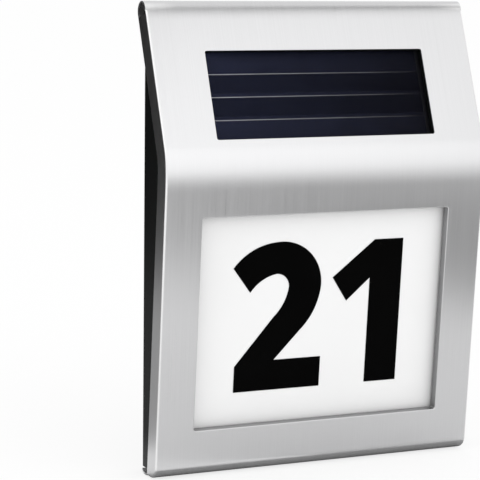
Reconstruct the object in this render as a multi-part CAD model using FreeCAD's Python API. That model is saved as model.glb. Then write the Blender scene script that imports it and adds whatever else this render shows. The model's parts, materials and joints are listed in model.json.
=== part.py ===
import FreeCAD, Part
import os
from math import cos, pi, radians, sin, tan
from FreeCAD import Matrix, Placement, Rotation, Vector

# Solar house number sign. X is to the right, Y goes back to the wall, Z is up.
# The wall is the plane Y = 0, and the origin lies midway between the two keyhole entries.
# All sizes are in millimetres. "Depth" is always measured square to a panel, from its outer face.

# ---- driving dimensions ------------------------------------------------------------------
# front cover, brushed steel sheet
COVER_WIDTH = 160.0
SHEET = 0.8                    # sheet thickness
UPPER_LEAN = 21.4              # degrees that the upper panel leans back from the vertical
LOWER_LEAN = 4.5               # degrees that the lower panel runs back towards the foot
UPPER_LENGTH = 71.0            # sharp bend corner to the centre of the top roll
LOWER_LENGTH = 137.85          # sharp bend corner to the start of the bottom bend
BEND_RADIUS = 25.0             # outer radius of the main bend
FLANGE_DEPTH = 9.6             # side flange, and width across the top roll
ROLL_LEG = 4.0                 # back leg of the top roll
BOTTOM_RADIUS = 6.5            # outer radius of the bottom bend
RETURN_LENGTH = 6.8            # flat of the bottom return
LIP_RADIUS = 3.6               # outer radius of the return's turned-up lip
LIP_TURN = 60.0                # degrees that the lip turns up
EDGE_RADIUS = 1.0              # outer radius where the face meets the flanges
RELIEF = 0.6                   # slot between the flange's tab and the roll
FOLD = 0.4                     # clearance where the cover hooks over a moulding

# windows
NUMBER_WINDOW = (124.0, 97.8)  # width, height
NUMBER_TOP = 24.6              # sharp bend corner to the window's top edge
NUMBER_LIP = 4.2               # depth of the drawn lip round the number window
SOLAR_WINDOW = (109.4, 41.1)
SOLAR_FOOT = 10.0              # sharp bend corner to the solar window's lower edge
WINDOW_CORNER = 0.9
LIP_EDGE = 0.35                # outer rounding of the drawn lip

# number panel and its figures
PANEL_THICK = 2.0
PANEL_OVERLAP = 2.6            # how far the panel reaches past the frame's aperture
FIGURE_HEIGHT = 68.0           # of a flat-topped figure
FIGURE_THICK = 0.2
FIGURE_FOOT = 14.7             # figures' baseline above the window's lower edge
FIGURE_TWO_X = -41.1           # left foot of each figure
FIGURE_ONE_X = 25.8

# inner frame, black moulding behind the cover
FRAME_GAP = 0.2
FRAME_THICK = 2.0
FRAME_RIM = 2.5                # height of the ledge that the number panel seats on
RIM_WIDTH = 4.0
BITE = 0.2                     # how far a rib or ledge runs into the wall that carries it
LOCATING_WALL = 1.4            # round the solar board
RIB_HEIGHT = 2.2
HOOK_WALL = 2.2                # top wall that the cover's roll hooks over
FRAME_TOP_GAP = 0.7            # the frame's plate reaches this far into the top roll
FRAME_FOOT_GAP = 0.4           # it ends this far above the bottom bend
FRAME_RIBS = 4                 # across the plate, between its two apertures
FRAME_RIB_PITCH = 32.0
LIP_CLEARANCE = 0.4            # between the cover's lip and the frame's aperture

# rear housing, black moulding
HOUSING_INSET = 3.2            # cover's side to the housing's side
WALL = 2.2
RIB_THICK = 1.6
HOUSING_TOP = 58.0             # above the bend corner
HOUSING_GAP = 0.3              # under the housing, to the cover's return
SEAL_THICK = 0.6
SEAL_WIDTH = 1.6
SEAL_INSET = 0.3               # housing's side to the seal
SEAL_RISE = 0.6                # end of the foot's rounding to the seal
BACK_RADIUS = 1.6
GROOVE_ROOF = 1.8              # wall over the groove that the cover's lip snaps into
WALL_GAP = 0.2                 # the top roll stands this far off the wall
WEEP_X = 50.0                  # drain slots in the housing's floor
WEEP_LENGTH = 7.0
WEEP_WIDTH = 1.6
WEEP_BACK = 3.4

# keyholes
KEYHOLE_SPACING = 90.0
KEYHOLE_HEIGHT = 36.0          # above the bend corner
KEYHOLE_ENTRY_R = 4.25
KEYHOLE_SLOT_R = 2.2
KEYHOLE_TRAVEL = 8.0
KEYHOLE_DEEP = 5.0             # room for the screw head behind the back wall
KEYHOLE_WALL = 1.3

# solar panel
SEAL_SOLAR = 0.3
SHEET_SOLAR = 0.5
CELL_THICK = 0.2
BOARD_SOLAR = 1.2
CELL_PITCH = 10.65
CELL_GAP = 0.4
CELL_COUNT = 4
CELL_LENGTH = 105.8
SOLAR_MARGIN = 4.0             # solar board past the window on each side

# light box
TRAY_WALL = 1.2
TRAY_TOP = 17.0                # below the bend corner
TRAY_GAP = 0.3
TRAY_SLOPE = 5.0               # the tray's back comes forward by this at its foot
LED_COUNT = 6
LED_PITCH = 18.0
LED_BOARD = (112.0, 8.0, 1.2)
LED_SIZE = (3.5, 2.8, 1.2)
TRAY_RIBS = 3                  # housing ribs that the light box rests on
TRAY_RIB_PITCH = 42.0

# battery compartment, one AA cell lying across
CELL_R = 7.1
CELL_BODY = 48.6
NUB_R = 2.7
NUB_LENGTH = 1.2
BATTERY_CENTRE = 5.0           # above the bend corner
BATTERY_CLEARANCE = 0.5
BATTERY_END = 3.6              # room for a contact at each end
CONTACT_THICK = 0.5
CONTACT_HALF = 5.2
TAG_SIZE = (2.0, 2.4, 0.5)     # how far it sticks out, its width and thickness
LEAF_THICK = 0.4               # sprung leaf of the minus contact
LEAF_HALF = 2.5
BOX_WALL = 1.6
LEDGE = 5.0                    # width of the door's seat
DOOR_THICK = 1.7
DOOR_SINK = 0.2                # the door lies this far under the back face
DOOR_GAP = 0.3
DOOR_SEAL = 0.6
DOOR_SCREW_SINK = 0.9          # depth of the counterbore for the door's screws
GRIP_COUNT = 7                 # grooves in the door
GRIP_PITCH = 1.6
GRIP_HALF = 9.0

# control board and switch
BOARD_SIZE = (33.0, 33.0, 1.6)
BOARD_CENTRE = (55.0, 5.0)     # X, and height above the bend corner
BOARD_STANDOFF = 4.9           # back wall to the board
BOARD_SCREW_INSET = 3.0
SWITCH_BODY = (9.0, 4.4, 4.2)  # X, Z, Y
SWITCH_KNOB = (2.6, 2.0)
SWITCH_TRAVEL = 2.5
KNOB_SINK = 0.6                # the knob ends this far under the back face
KNOB_GAP = 0.35

# screws
SCREW_R = 1.4
SCREW_HEAD_R = 2.7
SCREW_HEAD = 1.8
SCREW_LENGTH = 9.0
SCREW_PLAY = 0.15
THREAD_PLAY = 0.05             # between a screw and the hole that it cuts its thread in
COLUMN_R = 4.2
COLUMN_BITE = 1.2              # how far a column runs into the housing's side
COLUMN_FLOOR = 2.0             # under the screw's head
BOSS_R = 2.7
BOSS_GAP = 0.7                 # seal to the frame's boss
SMALL_SCREW_R = 0.95
SMALL_HEAD_R = 1.8
SMALL_HEAD = 1.2
SMALL_LENGTH = 5.0
WIRE_R = 0.6
WIRE_PITCH = 2.4

# ---- worked out from the driving dimensions -------------------------------------------------
UP_ANGLE = radians(UPPER_LEAN)
LOW_ANGLE = radians(LOWER_LEAN)
ROLL_R = FLANGE_DEPTH / 2
HALF_WIDTH = COVER_WIDTH / 2
HALF_HOUSING = HALF_WIDTH - HOUSING_INSET
# the top roll's back is WALL_GAP in front of the wall, which sets the depth of the sign
DEPTH = UPPER_LENGTH * sin(UP_ANGLE) + ROLL_R * cos(UP_ANGLE) + ROLL_R + WALL_GAP
CORNER_Z = -KEYHOLE_HEIGHT
FRAME_FACE = SHEET + FRAME_GAP
FRAME_BACK = FRAME_FACE + FRAME_THICK
HOUSING_FACE = FRAME_BACK + SEAL_THICK
FOOT_RADIUS = BOTTOM_RADIUS - HOUSING_FACE     # follows the cover's bottom bend
FIT = 0.1                      # between faces that touch
PANEL_DEPTH = FRAME_BACK + FRAME_RIM + FIT     # recess of the white panel's face

os.makedirs("parts", exist_ok=True)


def save(name, *solids):
    """Write one node's STEP file, a single solid or a group of separate ones."""
    shape = solids[0] if len(solids) == 1 else Part.makeCompound(list(solids))
    shape.exportStep(os.path.join("parts", name + ".step"))
    print(name, len(solids), "solid(s)", round(shape.Volume, 1), "mm3", shape.isValid())


# ---- the sign's side profile ----------------------------------------------------------------
class Panel:
    """A flat stretch of the cover: local x is X, local y runs up it, local z points out."""

    def __init__(self, lean):
        """Take the angle, in radians, by which the panel's upper end leans back."""
        self.up = Vector(0, sin(lean), cos(lean))
        self.out = Vector(0, -cos(lean), sin(lean))
        self.corner = Vector(0, -DEPTH, CORNER_Z)

    def point(self, height, depth):
        """Give the point at a height above the bend corner and a depth under the face."""
        return self.corner + self.up * height - self.out * depth

    def place(self, shape):
        """Move a shape from the panel's own frame to the sign's."""
        up, out, corner = self.up, self.out, self.corner
        turn = Matrix(1, 0, 0, 0, 0, up.y, out.y, corner.y, 0, up.z, out.z, corner.z, 0, 0, 0, 1)
        shape.Placement = Placement(turn).multiply(shape.Placement)
        return shape

    def block(self, half_width, low, high, face, back, corner=0.0):
        """Make a block centred on X = 0 from its heights and depths, with rounded corners."""
        size = Vector(2 * half_width, high - low, back - face)
        block = Part.makeBox(size.x, size.y, size.z, Vector(-half_width, low, -back))
        if corner:
            upright = [e for e in block.Edges if abs(e.Length - size.z) < 1e-6
                       and abs(e.tangentAt(e.FirstParameter).z) > 0.99]
            block = block.makeFillet(corner, upright)
        return self.place(block)


UPPER = Panel(UP_ANGLE)
LOWER = Panel(-LOW_ANGLE)
BEND_HALF = (UP_ANGLE + LOW_ANGLE) / 2


def bend_points(depth):
    """Give the start, middle and end of the main bend at a depth under the face."""
    into = (UPPER.out + LOWER.out) * (-1.0 / (1.0 + UPPER.out.dot(LOWER.out)))
    corner = UPPER.corner + into * depth
    radius = BEND_RADIUS - depth
    reach = radius * tan(BEND_HALF)
    inward = Vector(into).normalize()
    centre = corner + inward * (radius / cos(BEND_HALF))
    return corner + UPPER.up * reach, centre - inward * radius, corner - LOWER.up * reach


def face_line(depth, top, foot):
    """Give the edges along the face at a depth, from the top down to the foot."""
    start, middle, end = bend_points(depth)
    return [Part.LineSegment(top, start).toShape(), Part.Arc(start, middle, end).toShape(),
            Part.LineSegment(end, foot).toShape()]


def chain(*points):
    """Join points with straight edges; a point given as a pair is an arc's middle and end."""
    edges = []
    here = points[0]
    for step in points[1:]:
        if isinstance(step, tuple):
            edges.append(Part.Arc(here, step[0], step[1]).toShape())
            here = step[1]
        elif here.distanceToPoint(step) > 1e-7:
            edges.append(Part.LineSegment(here, step).toShape())
            here = step
    return edges


def prism(edges, left, right):
    """Close the edges, which lie in X = 0, and extrude their face from left to right."""
    wire = Part.Wire(Part.__sortEdges__(edges))
    solid = Part.Face(wire).extrude(Vector(right - left, 0, 0))
    solid.translate(Vector(left, 0, 0))
    return solid


def band(face, back, top, foot, half_width):
    """Make a sheet between two depths that follows the panels and the main bend."""
    high, low = UPPER.point(top, face), LOWER.point(-foot, face)
    high_back, low_back = UPPER.point(top, back), LOWER.point(-foot, back)
    edges = face_line(face, high, low) + face_line(back, high_back, low_back)
    edges += chain(low, low_back) + chain(high, high_back)
    return prism(edges, -half_width, half_width)


def box(x, y, z):
    """Make a box from its (low, high) pairs."""
    return Part.makeBox(x[1] - x[0], y[1] - y[0], z[1] - z[0], Vector(x[0], y[0], z[0]))


def rod(x, y, z, radius, length, axis=Vector(0, 1, 0)):
    """Make a cylinder from the middle of one end."""
    return Part.makeCylinder(radius, length, Vector(x, y, z), axis)


def mirrored(shape):
    """Give the shape's mirror image across X = 0."""
    return shape.mirror(Vector(0, 0, 0), Vector(1, 0, 0))


ROLL_CENTRE = UPPER.point(UPPER_LENGTH, ROLL_R)
FOOT_CENTRE = LOWER.point(-LOWER_LENGTH, BOTTOM_RADIUS)
FOOT_Z = FOOT_CENTRE.z - BOTTOM_RADIUS
RETURN_END = FOOT_CENTRE.y + RETURN_LENGTH
HOUSING_FOOT = FOOT_Z + SHEET + HOUSING_GAP
SEAL_FOOT = HOUSING_FOOT + FOOT_RADIUS + SEAL_RISE
LIP_CENTRE = Vector(0, RETURN_END, FOOT_Z + LIP_RADIUS)


def lip_point(share, radius):
    """Give the point at a share of the lip's turn and a radius about its centre."""
    turn = radians(LIP_TURN) * share
    return LIP_CENTRE + Vector(0, sin(turn), -cos(turn)) * radius


LIP_TOP = lip_point(1, LIP_RADIUS - SHEET).z
LIP_BACK = lip_point(1, LIP_RADIUS).y


def foot_arc(radius):
    """Give the bottom bend's middle and end points at a radius about its centre."""
    start = (pi / 2 - LOW_ANGLE) / 2 + LOW_ANGLE
    middle = FOOT_CENTRE + Vector(0, -cos(start), -sin(start)) * radius
    # the lower panel's normal points forwards and down by LOW_ANGLE
    return middle, FOOT_CENTRE + Vector(0, 0, -radius)


# ---- front cover ----------------------------------------------------------------------------
def flange_foot(height):
    """Give the point where the flange's back edge comes down to a height above the foot."""
    back = LOWER.point(0, FLANGE_DEPTH)
    run = (back.z - FOOT_Z - height) / LOWER.up.z
    return back - LOWER.up * run


def make_front_cover():
    """Bend the sheet: panels, flanges, top roll, bottom return, windows and the drawn lip."""
    high = UPPER.point(UPPER_LENGTH, 0)
    high_back = UPPER.point(UPPER_LENGTH, FLANGE_DEPTH)
    low = LOWER.point(-LOWER_LENGTH, 0)
    foot = flange_foot(0)
    outline = face_line(0, high, low) + chain(low, foot_arc(BOTTOM_RADIUS), foot)
    outline += face_line(FLANGE_DEPTH, high_back, foot) + chain(high, high_back)
    blank = prism(outline, -HALF_WIDTH, HALF_WIDTH)

    def on_front_edge(edge):
        """Tell whether an edge runs along the face at one side of the blank."""
        ends = edge.BoundBox
        flat = ends.XMax - ends.XMin < 1e-6
        middle = edge.valueAt((edge.FirstParameter + edge.LastParameter) / 2)
        depths = [-(middle - p.corner).dot(p.out) for p in (UPPER, LOWER)]
        round_foot = middle.distanceToPoint(Vector(middle.x, FOOT_CENTRE.y, FOOT_CENTRE.z))
        on_foot = abs(round_foot - BOTTOM_RADIUS) < 1e-3
        on_bend = edge.Curve.TypeId == "Part::GeomCircle" and min(depths) < 1.5
        return flat and (min(abs(d) for d in depths) < 1e-3 or on_bend or on_foot)

    blank = blank.makeFillet(EDGE_RADIUS, [e for e in blank.Edges if on_front_edge(e)])

    # hollow behind the sheet
    inside_x = HALF_WIDTH - SHEET
    inner_high = UPPER.point(UPPER_LENGTH + 1, SHEET)
    inner_low = LOWER.point(-LOWER_LENGTH, SHEET)
    floor = FOOT_Z + SHEET
    hollow = face_line(SHEET, inner_high, inner_low)
    hollow += chain(inner_low, foot_arc(BOTTOM_RADIUS - SHEET), Vector(0, DEPTH, floor),
                    Vector(0, DEPTH, inner_high.z), inner_high)
    cover = blank.cut(prism(hollow, -inside_x, inside_x))

    # the flanges stop short of the roll; a round tab reaches up inside it
    shoulder = UPPER.block(HALF_WIDTH + 1, UPPER_LENGTH - RELIEF, UPPER_LENGTH + 1,
                           SHEET, FLANGE_DEPTH + 1)
    cover = cover.cut(shoulder)
    tab_r = ROLL_R - SHEET - RELIEF
    tab = Part.makeCylinder(tab_r, SHEET, Vector(0, ROLL_CENTRE.y, ROLL_CENTRE.z), Vector(1, 0, 0))
    for left in (-HALF_WIDTH, inside_x):
        piece = tab.copy()
        piece.translate(Vector(left, 0, 0))
        cover = cover.fuse(piece)

    # top roll: a half ring and its back leg
    roll = rod(0, 0, 0, ROLL_R, COVER_WIDTH, Vector(1, 0, 0))
    roll = roll.cut(rod(-1, 0, 0, ROLL_R - SHEET, COVER_WIDTH + 2, Vector(1, 0, 0)))
    roll.translate(Vector(-HALF_WIDTH, ROLL_CENTRE.y, ROLL_CENTRE.z))
    above = UPPER.block(HALF_WIDTH + 1, UPPER_LENGTH, UPPER_LENGTH + 2 * ROLL_R,
                        -1, FLANGE_DEPTH + 1)
    leg = UPPER.block(inside_x - RELIEF, UPPER_LENGTH - ROLL_LEG, UPPER_LENGTH,
                      FLANGE_DEPTH - SHEET, FLANGE_DEPTH)
    cover = cover.fuse([roll.common(above), leg])

    # bottom return with its turned-up lip
    start = Vector(0, flange_foot(0).y - SHEET, FOOT_Z)
    inner_r = LIP_RADIUS - SHEET
    lip = chain(start, lip_point(0, LIP_RADIUS),
                (lip_point(0.5, LIP_RADIUS), lip_point(1, LIP_RADIUS)), lip_point(1, inner_r),
                (lip_point(0.5, inner_r), lip_point(0, inner_r)),
                Vector(0, start.y, FOOT_Z + SHEET), start)
    cover = cover.fuse(prism(lip, -HALF_WIDTH, HALF_WIDTH))

    # windows, the lower one with a drawn lip
    cover = cover.cut(solar_opening(0, -1, SHEET + 1, WINDOW_CORNER))
    cover = cover.fuse(number_opening(SHEET, 0, NUMBER_LIP, WINDOW_CORNER + SHEET))
    cover = cover.cut(number_opening(0, -1, NUMBER_LIP + 1, WINDOW_CORNER)).removeSplitter()

    def on_lip(edge):
        """Tell whether an edge goes round the number window in the plane of the face."""
        middle = edge.valueAt((edge.FirstParameter + edge.LastParameter) / 2)
        depth = -(middle - LOWER.corner).dot(LOWER.out)
        height = (middle - LOWER.corner).dot(LOWER.up)
        inside = abs(middle.x) < NUMBER_WINDOW[0] / 2 + 0.1
        return abs(depth) < 1e-4 and inside and height < 1 - NUMBER_TOP and (
            height > -NUMBER_TOP - NUMBER_WINDOW[1] - 1)

    return cover.makeFillet(LIP_EDGE, [e for e in cover.Edges if on_lip(e)])


def number_opening(grow, face, back, corner=0.0):
    """Make a block with the number window's outline, grown by an amount, between two depths."""
    width, height = NUMBER_WINDOW
    return LOWER.block(width / 2 + grow, -NUMBER_TOP - height - grow, -NUMBER_TOP + grow,
                       face, back, corner)


def solar_opening(grow, face, back, corner=0.0):
    """Make a block with the solar window's outline, grown by an amount, between two depths."""
    width, height = SOLAR_WINDOW
    return UPPER.block(width / 2 + grow, SOLAR_FOOT - grow, SOLAR_FOOT + height + grow,
                       face, back, corner)


# ---- screws and their places ----------------------------------------------------------------
def screw(x, y, z, radius, head_r, head, length, axis=Vector(0, -1, 0)):
    """Make a cross-head screw whose head seats at (x, y, z) and whose shank runs along axis."""
    seat = Vector(x, y, z)
    shank = Part.makeCylinder(radius, length, seat, axis)
    cap = Part.makeCylinder(head_r, head, seat - axis * head, axis)
    span, slot, deep = head_r * 1.1, head_r * 0.28, head * 0.5
    cross = [Part.makeBox(x_size, y_size, deep, Vector(-x_size / 2, -y_size / 2, 0))
             for x_size, y_size in ((span, slot), (slot, span))]
    for arm in cross:
        arm.Placement = Placement(seat - axis * head, Rotation(Vector(0, 0, 1), axis))
    return cap.cut(cross).fuse(shank).removeSplitter()


# housing screws: X and Z of the four columns, each with its head's seat
COLUMN_X = HALF_HOUSING - WALL - COLUMN_R + COLUMN_BITE
COLUMN_TOP_Z = CORNER_Z + HOUSING_TOP - WALL - COLUMN_R + COLUMN_BITE
COLUMN_FOOT_Z = SEAL_FOOT + SEAL_WIDTH + BOSS_GAP + BOSS_R
COLUMNS = [(side * COLUMN_X, z) for side in (-1, 1) for z in (COLUMN_TOP_Z, COLUMN_FOOT_Z)]


def frame_back_y(z, depth=FRAME_BACK):
    """Give the Y of the surface at a depth under the face, at a height Z away from the bend."""
    panel = UPPER if z > CORNER_Z else LOWER
    point = panel.point(0, depth)
    return point.y + (z - point.z) * panel.up.y / panel.up.z


def column_seat(z):
    """Give the Y where a housing screw's head seats, short of the frame's boss."""
    return max(frame_back_y(z) + SCREW_LENGTH - 1.0, -DEPTH) if z < CORNER_Z else -WALL - 1.4


# ---- inner frame ----------------------------------------------------------------------------
FRAME_TOP = UPPER_LENGTH + FRAME_TOP_GAP
FRAME_END = LOWER_LENGTH - FRAME_FOOT_GAP


def make_inner_frame():
    """Mould the frame that carries the panels: a bent plate with apertures, rims and bosses."""
    plate = band(FRAME_FACE, FRAME_BACK, FRAME_TOP, FRAME_END, HALF_HOUSING)
    # top wall that the cover's roll hooks over
    top = UPPER.block(HALF_HOUSING, UPPER_LENGTH - HOOK_WALL, UPPER_LENGTH, FRAME_BACK - BITE,
                      FLANGE_DEPTH - SHEET - FOLD)
    parts = [top]
    # ledge for the number panel
    ledge = number_opening(SHEET + LIP_CLEARANCE + RIM_WIDTH, FRAME_BACK - BITE,
                           FRAME_BACK + FRAME_RIM)
    parts.append(ledge)
    # locating wall round the solar board
    inside = SOLAR_MARGIN + 3 * FIT
    outer = solar_opening(inside + LOCATING_WALL, FRAME_BACK - BITE, SOLAR_BACK)
    inner = solar_opening(inside, FRAME_BACK, SOLAR_BACK + 1)
    parts.append(outer.cut(inner))
    # ribs across the plate between the two apertures
    start, middle, end = bend_points(FRAME_BACK - BITE)
    for index in range(FRAME_RIBS):
        x = (index - (FRAME_RIBS - 1) / 2) * FRAME_RIB_PITCH
        rib = band(FRAME_BACK - BITE, FRAME_BACK + RIB_HEIGHT,
                   start.distanceToPoint(UPPER.corner) - 1,
                   end.distanceToPoint(LOWER.corner) + 3, RIB_THICK / 2)
        rib.translate(Vector(x, 0, 0))
        parts.append(rib)
    # bosses that meet the housing's columns
    for x, z in COLUMNS:
        meet = column_seat(z) - COLUMN_FLOOR - FIT
        boss = rod(x, -DEPTH, z, BOSS_R, meet + DEPTH)
        parts.append(boss.cut(band(-40, FRAME_FACE + 0.6, FRAME_TOP + 30, FRAME_END + 30,
                                   HALF_WIDTH)))
    frame = plate.fuse(parts)
    frame = frame.cut(number_opening(SHEET + LIP_CLEARANCE, -1, FRAME_BACK + FRAME_RIM + 1))
    frame = frame.cut(solar_opening(0, -1, FRAME_BACK + 1))
    for x, z in COLUMNS:
        reach = column_seat(z) - SCREW_LENGTH - 0.5
        frame = frame.cut(rod(x, reach, z, SCREW_R + THREAD_PLAY, DEPTH))
    return frame.removeSplitter()


# ---- rear housing ---------------------------------------------------------------------------
def housing_edges(face, back, top, foot):
    """Give the closed side outline of the housing or of its hollow."""
    high_y = frame_back_y(top, face)
    low_y = frame_back_y(foot, face)
    high, low = Vector(0, high_y, top), Vector(0, low_y, foot)
    return face_line(face, high, low) + chain(low, Vector(0, back, foot), Vector(0, back, top), high)


HOUSING_HIGH = CORNER_Z + HOUSING_TOP
BATTERY_Z = CORNER_Z + BATTERY_CENTRE
CELL_Y = -DOOR_SINK - DOOR_THICK - DOOR_SEAL - BATTERY_CLEARANCE - CELL_R
POCKET = (CELL_BODY / 2 + BATTERY_END, CELL_R + BATTERY_CLEARANCE)   # half length, half height
POCKET_FLOOR = CELL_Y - CELL_R - BATTERY_CLEARANCE
TAG_Y = CELL_Y - 3.5
DOOR_SEAT = -DOOR_SINK - DOOR_THICK - DOOR_SEAL
DOOR_HALF = (POCKET[0] + LEDGE, POCKET[1] + LEDGE)
DOOR_SCREW_X = DOOR_HALF[0] - 2.3
SWITCH_X = BOARD_CENTRE[0]
SWITCH_Z = CORNER_Z + BOARD_CENTRE[1]
BOARD_Y = -WALL - BOARD_STANDOFF
BOARD_SCREWS = [(SWITCH_X - side * (BOARD_SIZE[0] / 2 - BOARD_SCREW_INSET),
                 SWITCH_Z + side * (BOARD_SIZE[1] / 2 - BOARD_SCREW_INSET)) for side in (-1, 1)]


def keyhole(entry_r, slot_r, face, back):
    """Make the body of both keyholes between two Y planes: an entry and a slot above it."""
    holes = []
    for side in (-1, 1):
        x = side * KEYHOLE_SPACING / 2
        holes.append(rod(x, back, 0, entry_r, face - back))
        holes.append(rod(x, back, KEYHOLE_TRAVEL, slot_r, face - back))
        holes.append(box((x - slot_r, x + slot_r), (back, face), (0, KEYHOLE_TRAVEL)))
    return holes


def make_rear_housing():
    """Mould the housing: an open box with keyhole cups, a battery box, columns and ribs."""
    foot = HOUSING_FOOT
    body = prism(housing_edges(HOUSING_FACE, 0, HOUSING_HIGH, foot), -HALF_HOUSING, HALF_HOUSING)
    back_edges = [e for e in body.Edges if abs(e.BoundBox.YMin) < 1e-6
                  and abs(e.BoundBox.YMax) < 1e-6]
    body = body.makeFillet(BACK_RADIUS, back_edges)
    front_foot = [e for e in body.Edges if abs(e.BoundBox.ZMax - foot) < 1e-6
                  and e.BoundBox.YMax < frame_back_y(foot, HOUSING_FACE) + 0.5
                  and e.BoundBox.XLength > HALF_HOUSING]
    body = body.makeFillet(FOOT_RADIUS, front_foot)
    groove_top = LIP_TOP + FOLD
    floor = groove_top + GROOVE_ROOF
    hollow = prism(housing_edges(HOUSING_FACE, -WALL, HOUSING_HIGH - WALL, floor),
                   -HALF_HOUSING + WALL, HALF_HOUSING - WALL)
    body = body.cut(hollow)

    # what stands up inside, kept clear of the frame
    inner = []
    cup_back = -WALL - KEYHOLE_DEEP
    head_r = KEYHOLE_ENTRY_R + 0.4
    cup_r = head_r + KEYHOLE_WALL
    inner += keyhole(cup_r, cup_r, -WALL / 2, cup_back - KEYHOLE_WALL)
    ledge_back = DOOR_SEAT - WALL
    inner.append(box((-DOOR_HALF[0] - BOX_WALL, DOOR_HALF[0] + BOX_WALL), (ledge_back, -WALL / 2),
                     (BATTERY_Z - DOOR_HALF[1] - BOX_WALL, BATTERY_Z + DOOR_HALF[1] + BOX_WALL)))
    inner.append(box((-POCKET[0] - BOX_WALL, POCKET[0] + BOX_WALL),
                     (POCKET_FLOOR - BOX_WALL, ledge_back + 0.5),
                     (BATTERY_Z - POCKET[1] - BOX_WALL, BATTERY_Z + POCKET[1] + BOX_WALL)))
    for side in (-1, 1):
        inner.append(rod(side * DOOR_SCREW_X, ledge_back - 4.0, BATTERY_Z, BOSS_R - 0.4, 5.0))
    for x, z in COLUMNS:
        end = column_seat(z) - COLUMN_FLOOR
        inner.append(rod(x, end, z, COLUMN_R, -WALL / 2 - end))
    for x, z in BOARD_SCREWS:
        inner.append(rod(x, BOARD_Y, z, BOSS_R - 0.7, BOARD_STANDOFF + WALL / 2))
    # ribs that the light box rests on
    tray_high, tray_low = tray_back(TRAY_GAP)
    for index in range(TRAY_RIBS):
        x = (index - (TRAY_RIBS - 1) / 2) * TRAY_RIB_PITCH
        edges = chain(Vector(0, -WALL / 2, tray_high.z), tray_high, tray_low,
                      Vector(0, -WALL / 2, tray_low.z), Vector(0, -WALL / 2, tray_high.z))
        inner.append(prism(edges, x - RIB_THICK / 2, x + RIB_THICK / 2))
    body = body.fuse(inner)

    # holes from the back
    cuts = keyhole(KEYHOLE_ENTRY_R, KEYHOLE_SLOT_R, 1, -WALL)
    cuts += keyhole(head_r, head_r, -WALL, cup_back)
    cuts.append(box((-DOOR_HALF[0], DOOR_HALF[0]), (DOOR_SEAT, 1),
                    (BATTERY_Z - DOOR_HALF[1], BATTERY_Z + DOOR_HALF[1])))
    cuts.append(box((-POCKET[0], POCKET[0]), (POCKET_FLOOR, 1),
                    (BATTERY_Z - POCKET[1], BATTERY_Z + POCKET[1])))
    for side in (-1, 1):
        cuts.append(rod(side * DOOR_SCREW_X, ledge_back - 3.0, BATTERY_Z,
                        SMALL_SCREW_R + SCREW_PLAY, WALL + 6))
    for x, z in COLUMNS:
        seat = column_seat(z)
        cuts.append(rod(x, seat, z, SCREW_HEAD_R + 0.3, DEPTH))
        cuts.append(rod(x, seat - COLUMN_FLOOR - 1, z, SCREW_R + SCREW_PLAY, DEPTH))
    for x, z in BOARD_SCREWS:
        cuts.append(rod(x, BOARD_Y - 1, z, SMALL_SCREW_R + THREAD_PLAY, BOARD_STANDOFF + 1))
    # slots where the battery contacts' tags come out
    tag_y, tag_z = TAG_SIZE[1] / 2 + 0.2, TAG_SIZE[2] / 2 + 0.15
    for side in (-1, 1):
        x = side * (POCKET[0] + BOX_WALL / 2)
        cuts.append(box((x - BOX_WALL, x + BOX_WALL), (TAG_Y - tag_y, TAG_Y + tag_y),
                        (BATTERY_Z - tag_z, BATTERY_Z + tag_z)))
    # slot for the switch's knob, in a shallow dish
    knob_x, knob_z = SWITCH_KNOB
    cuts.append(box((SWITCH_X - knob_x / 2 - SWITCH_TRAVEL / 2 - KNOB_GAP,
                     SWITCH_X + knob_x / 2 + SWITCH_TRAVEL / 2 + KNOB_GAP), (-WALL - 1, 1),
                    (SWITCH_Z - knob_z / 2 - KNOB_GAP, SWITCH_Z + knob_z / 2 + KNOB_GAP)))
    dish = Part.makeCone(4.4, 5.4, 1.0, Vector(SWITCH_X, -1.0, SWITCH_Z), Vector(0, 1, 0))
    cuts.append(dish)
    # groove that the cover's lip snaps into
    cuts.append(box((-HALF_WIDTH, HALF_WIDTH),
                    (RETURN_END - FOLD, LIP_BACK + FOLD),
                    (foot - 1, groove_top)))
    # weep slots under the light box
    for side in (-1, 1):
        x = side * WEEP_X
        cuts.append(box((x - WEEP_LENGTH / 2, x + WEEP_LENGTH / 2),
                        (-WEEP_BACK - WEEP_WIDTH, -WEEP_BACK), (foot - 1, floor + 1)))
    return body.cut(cuts).removeSplitter()


def make_housing_seal():
    """Lay the flat seal between the housing's front edge and the frame."""
    outer_x, high = HALF_HOUSING - SEAL_INSET, HOUSING_HIGH - SEAL_INSET
    ring = band(FRAME_BACK, HOUSING_FACE, HOUSING_TOP + 20, LOWER_LENGTH + 20, outer_x)
    keep = box((-HALF_WIDTH, HALF_WIDTH), (-DEPTH, 0), (SEAL_FOOT, high))
    hole_x = outer_x - SEAL_WIDTH
    hole = box((-hole_x, hole_x), (-DEPTH, 0), (SEAL_FOOT + SEAL_WIDTH, high - SEAL_WIDTH))
    return ring.common(keep).cut(hole)


# ---- solar panel ----------------------------------------------------------------------------
SOLAR_FACE = FRAME_BACK + SEAL_SOLAR
CELL_FACE = SOLAR_FACE + SHEET_SOLAR
SOLAR_BOARD_FACE = CELL_FACE + CELL_THICK
SOLAR_BACK = SOLAR_BOARD_FACE + BOARD_SOLAR
SOLAR_MID = SOLAR_FOOT + SOLAR_WINDOW[1] / 2


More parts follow.
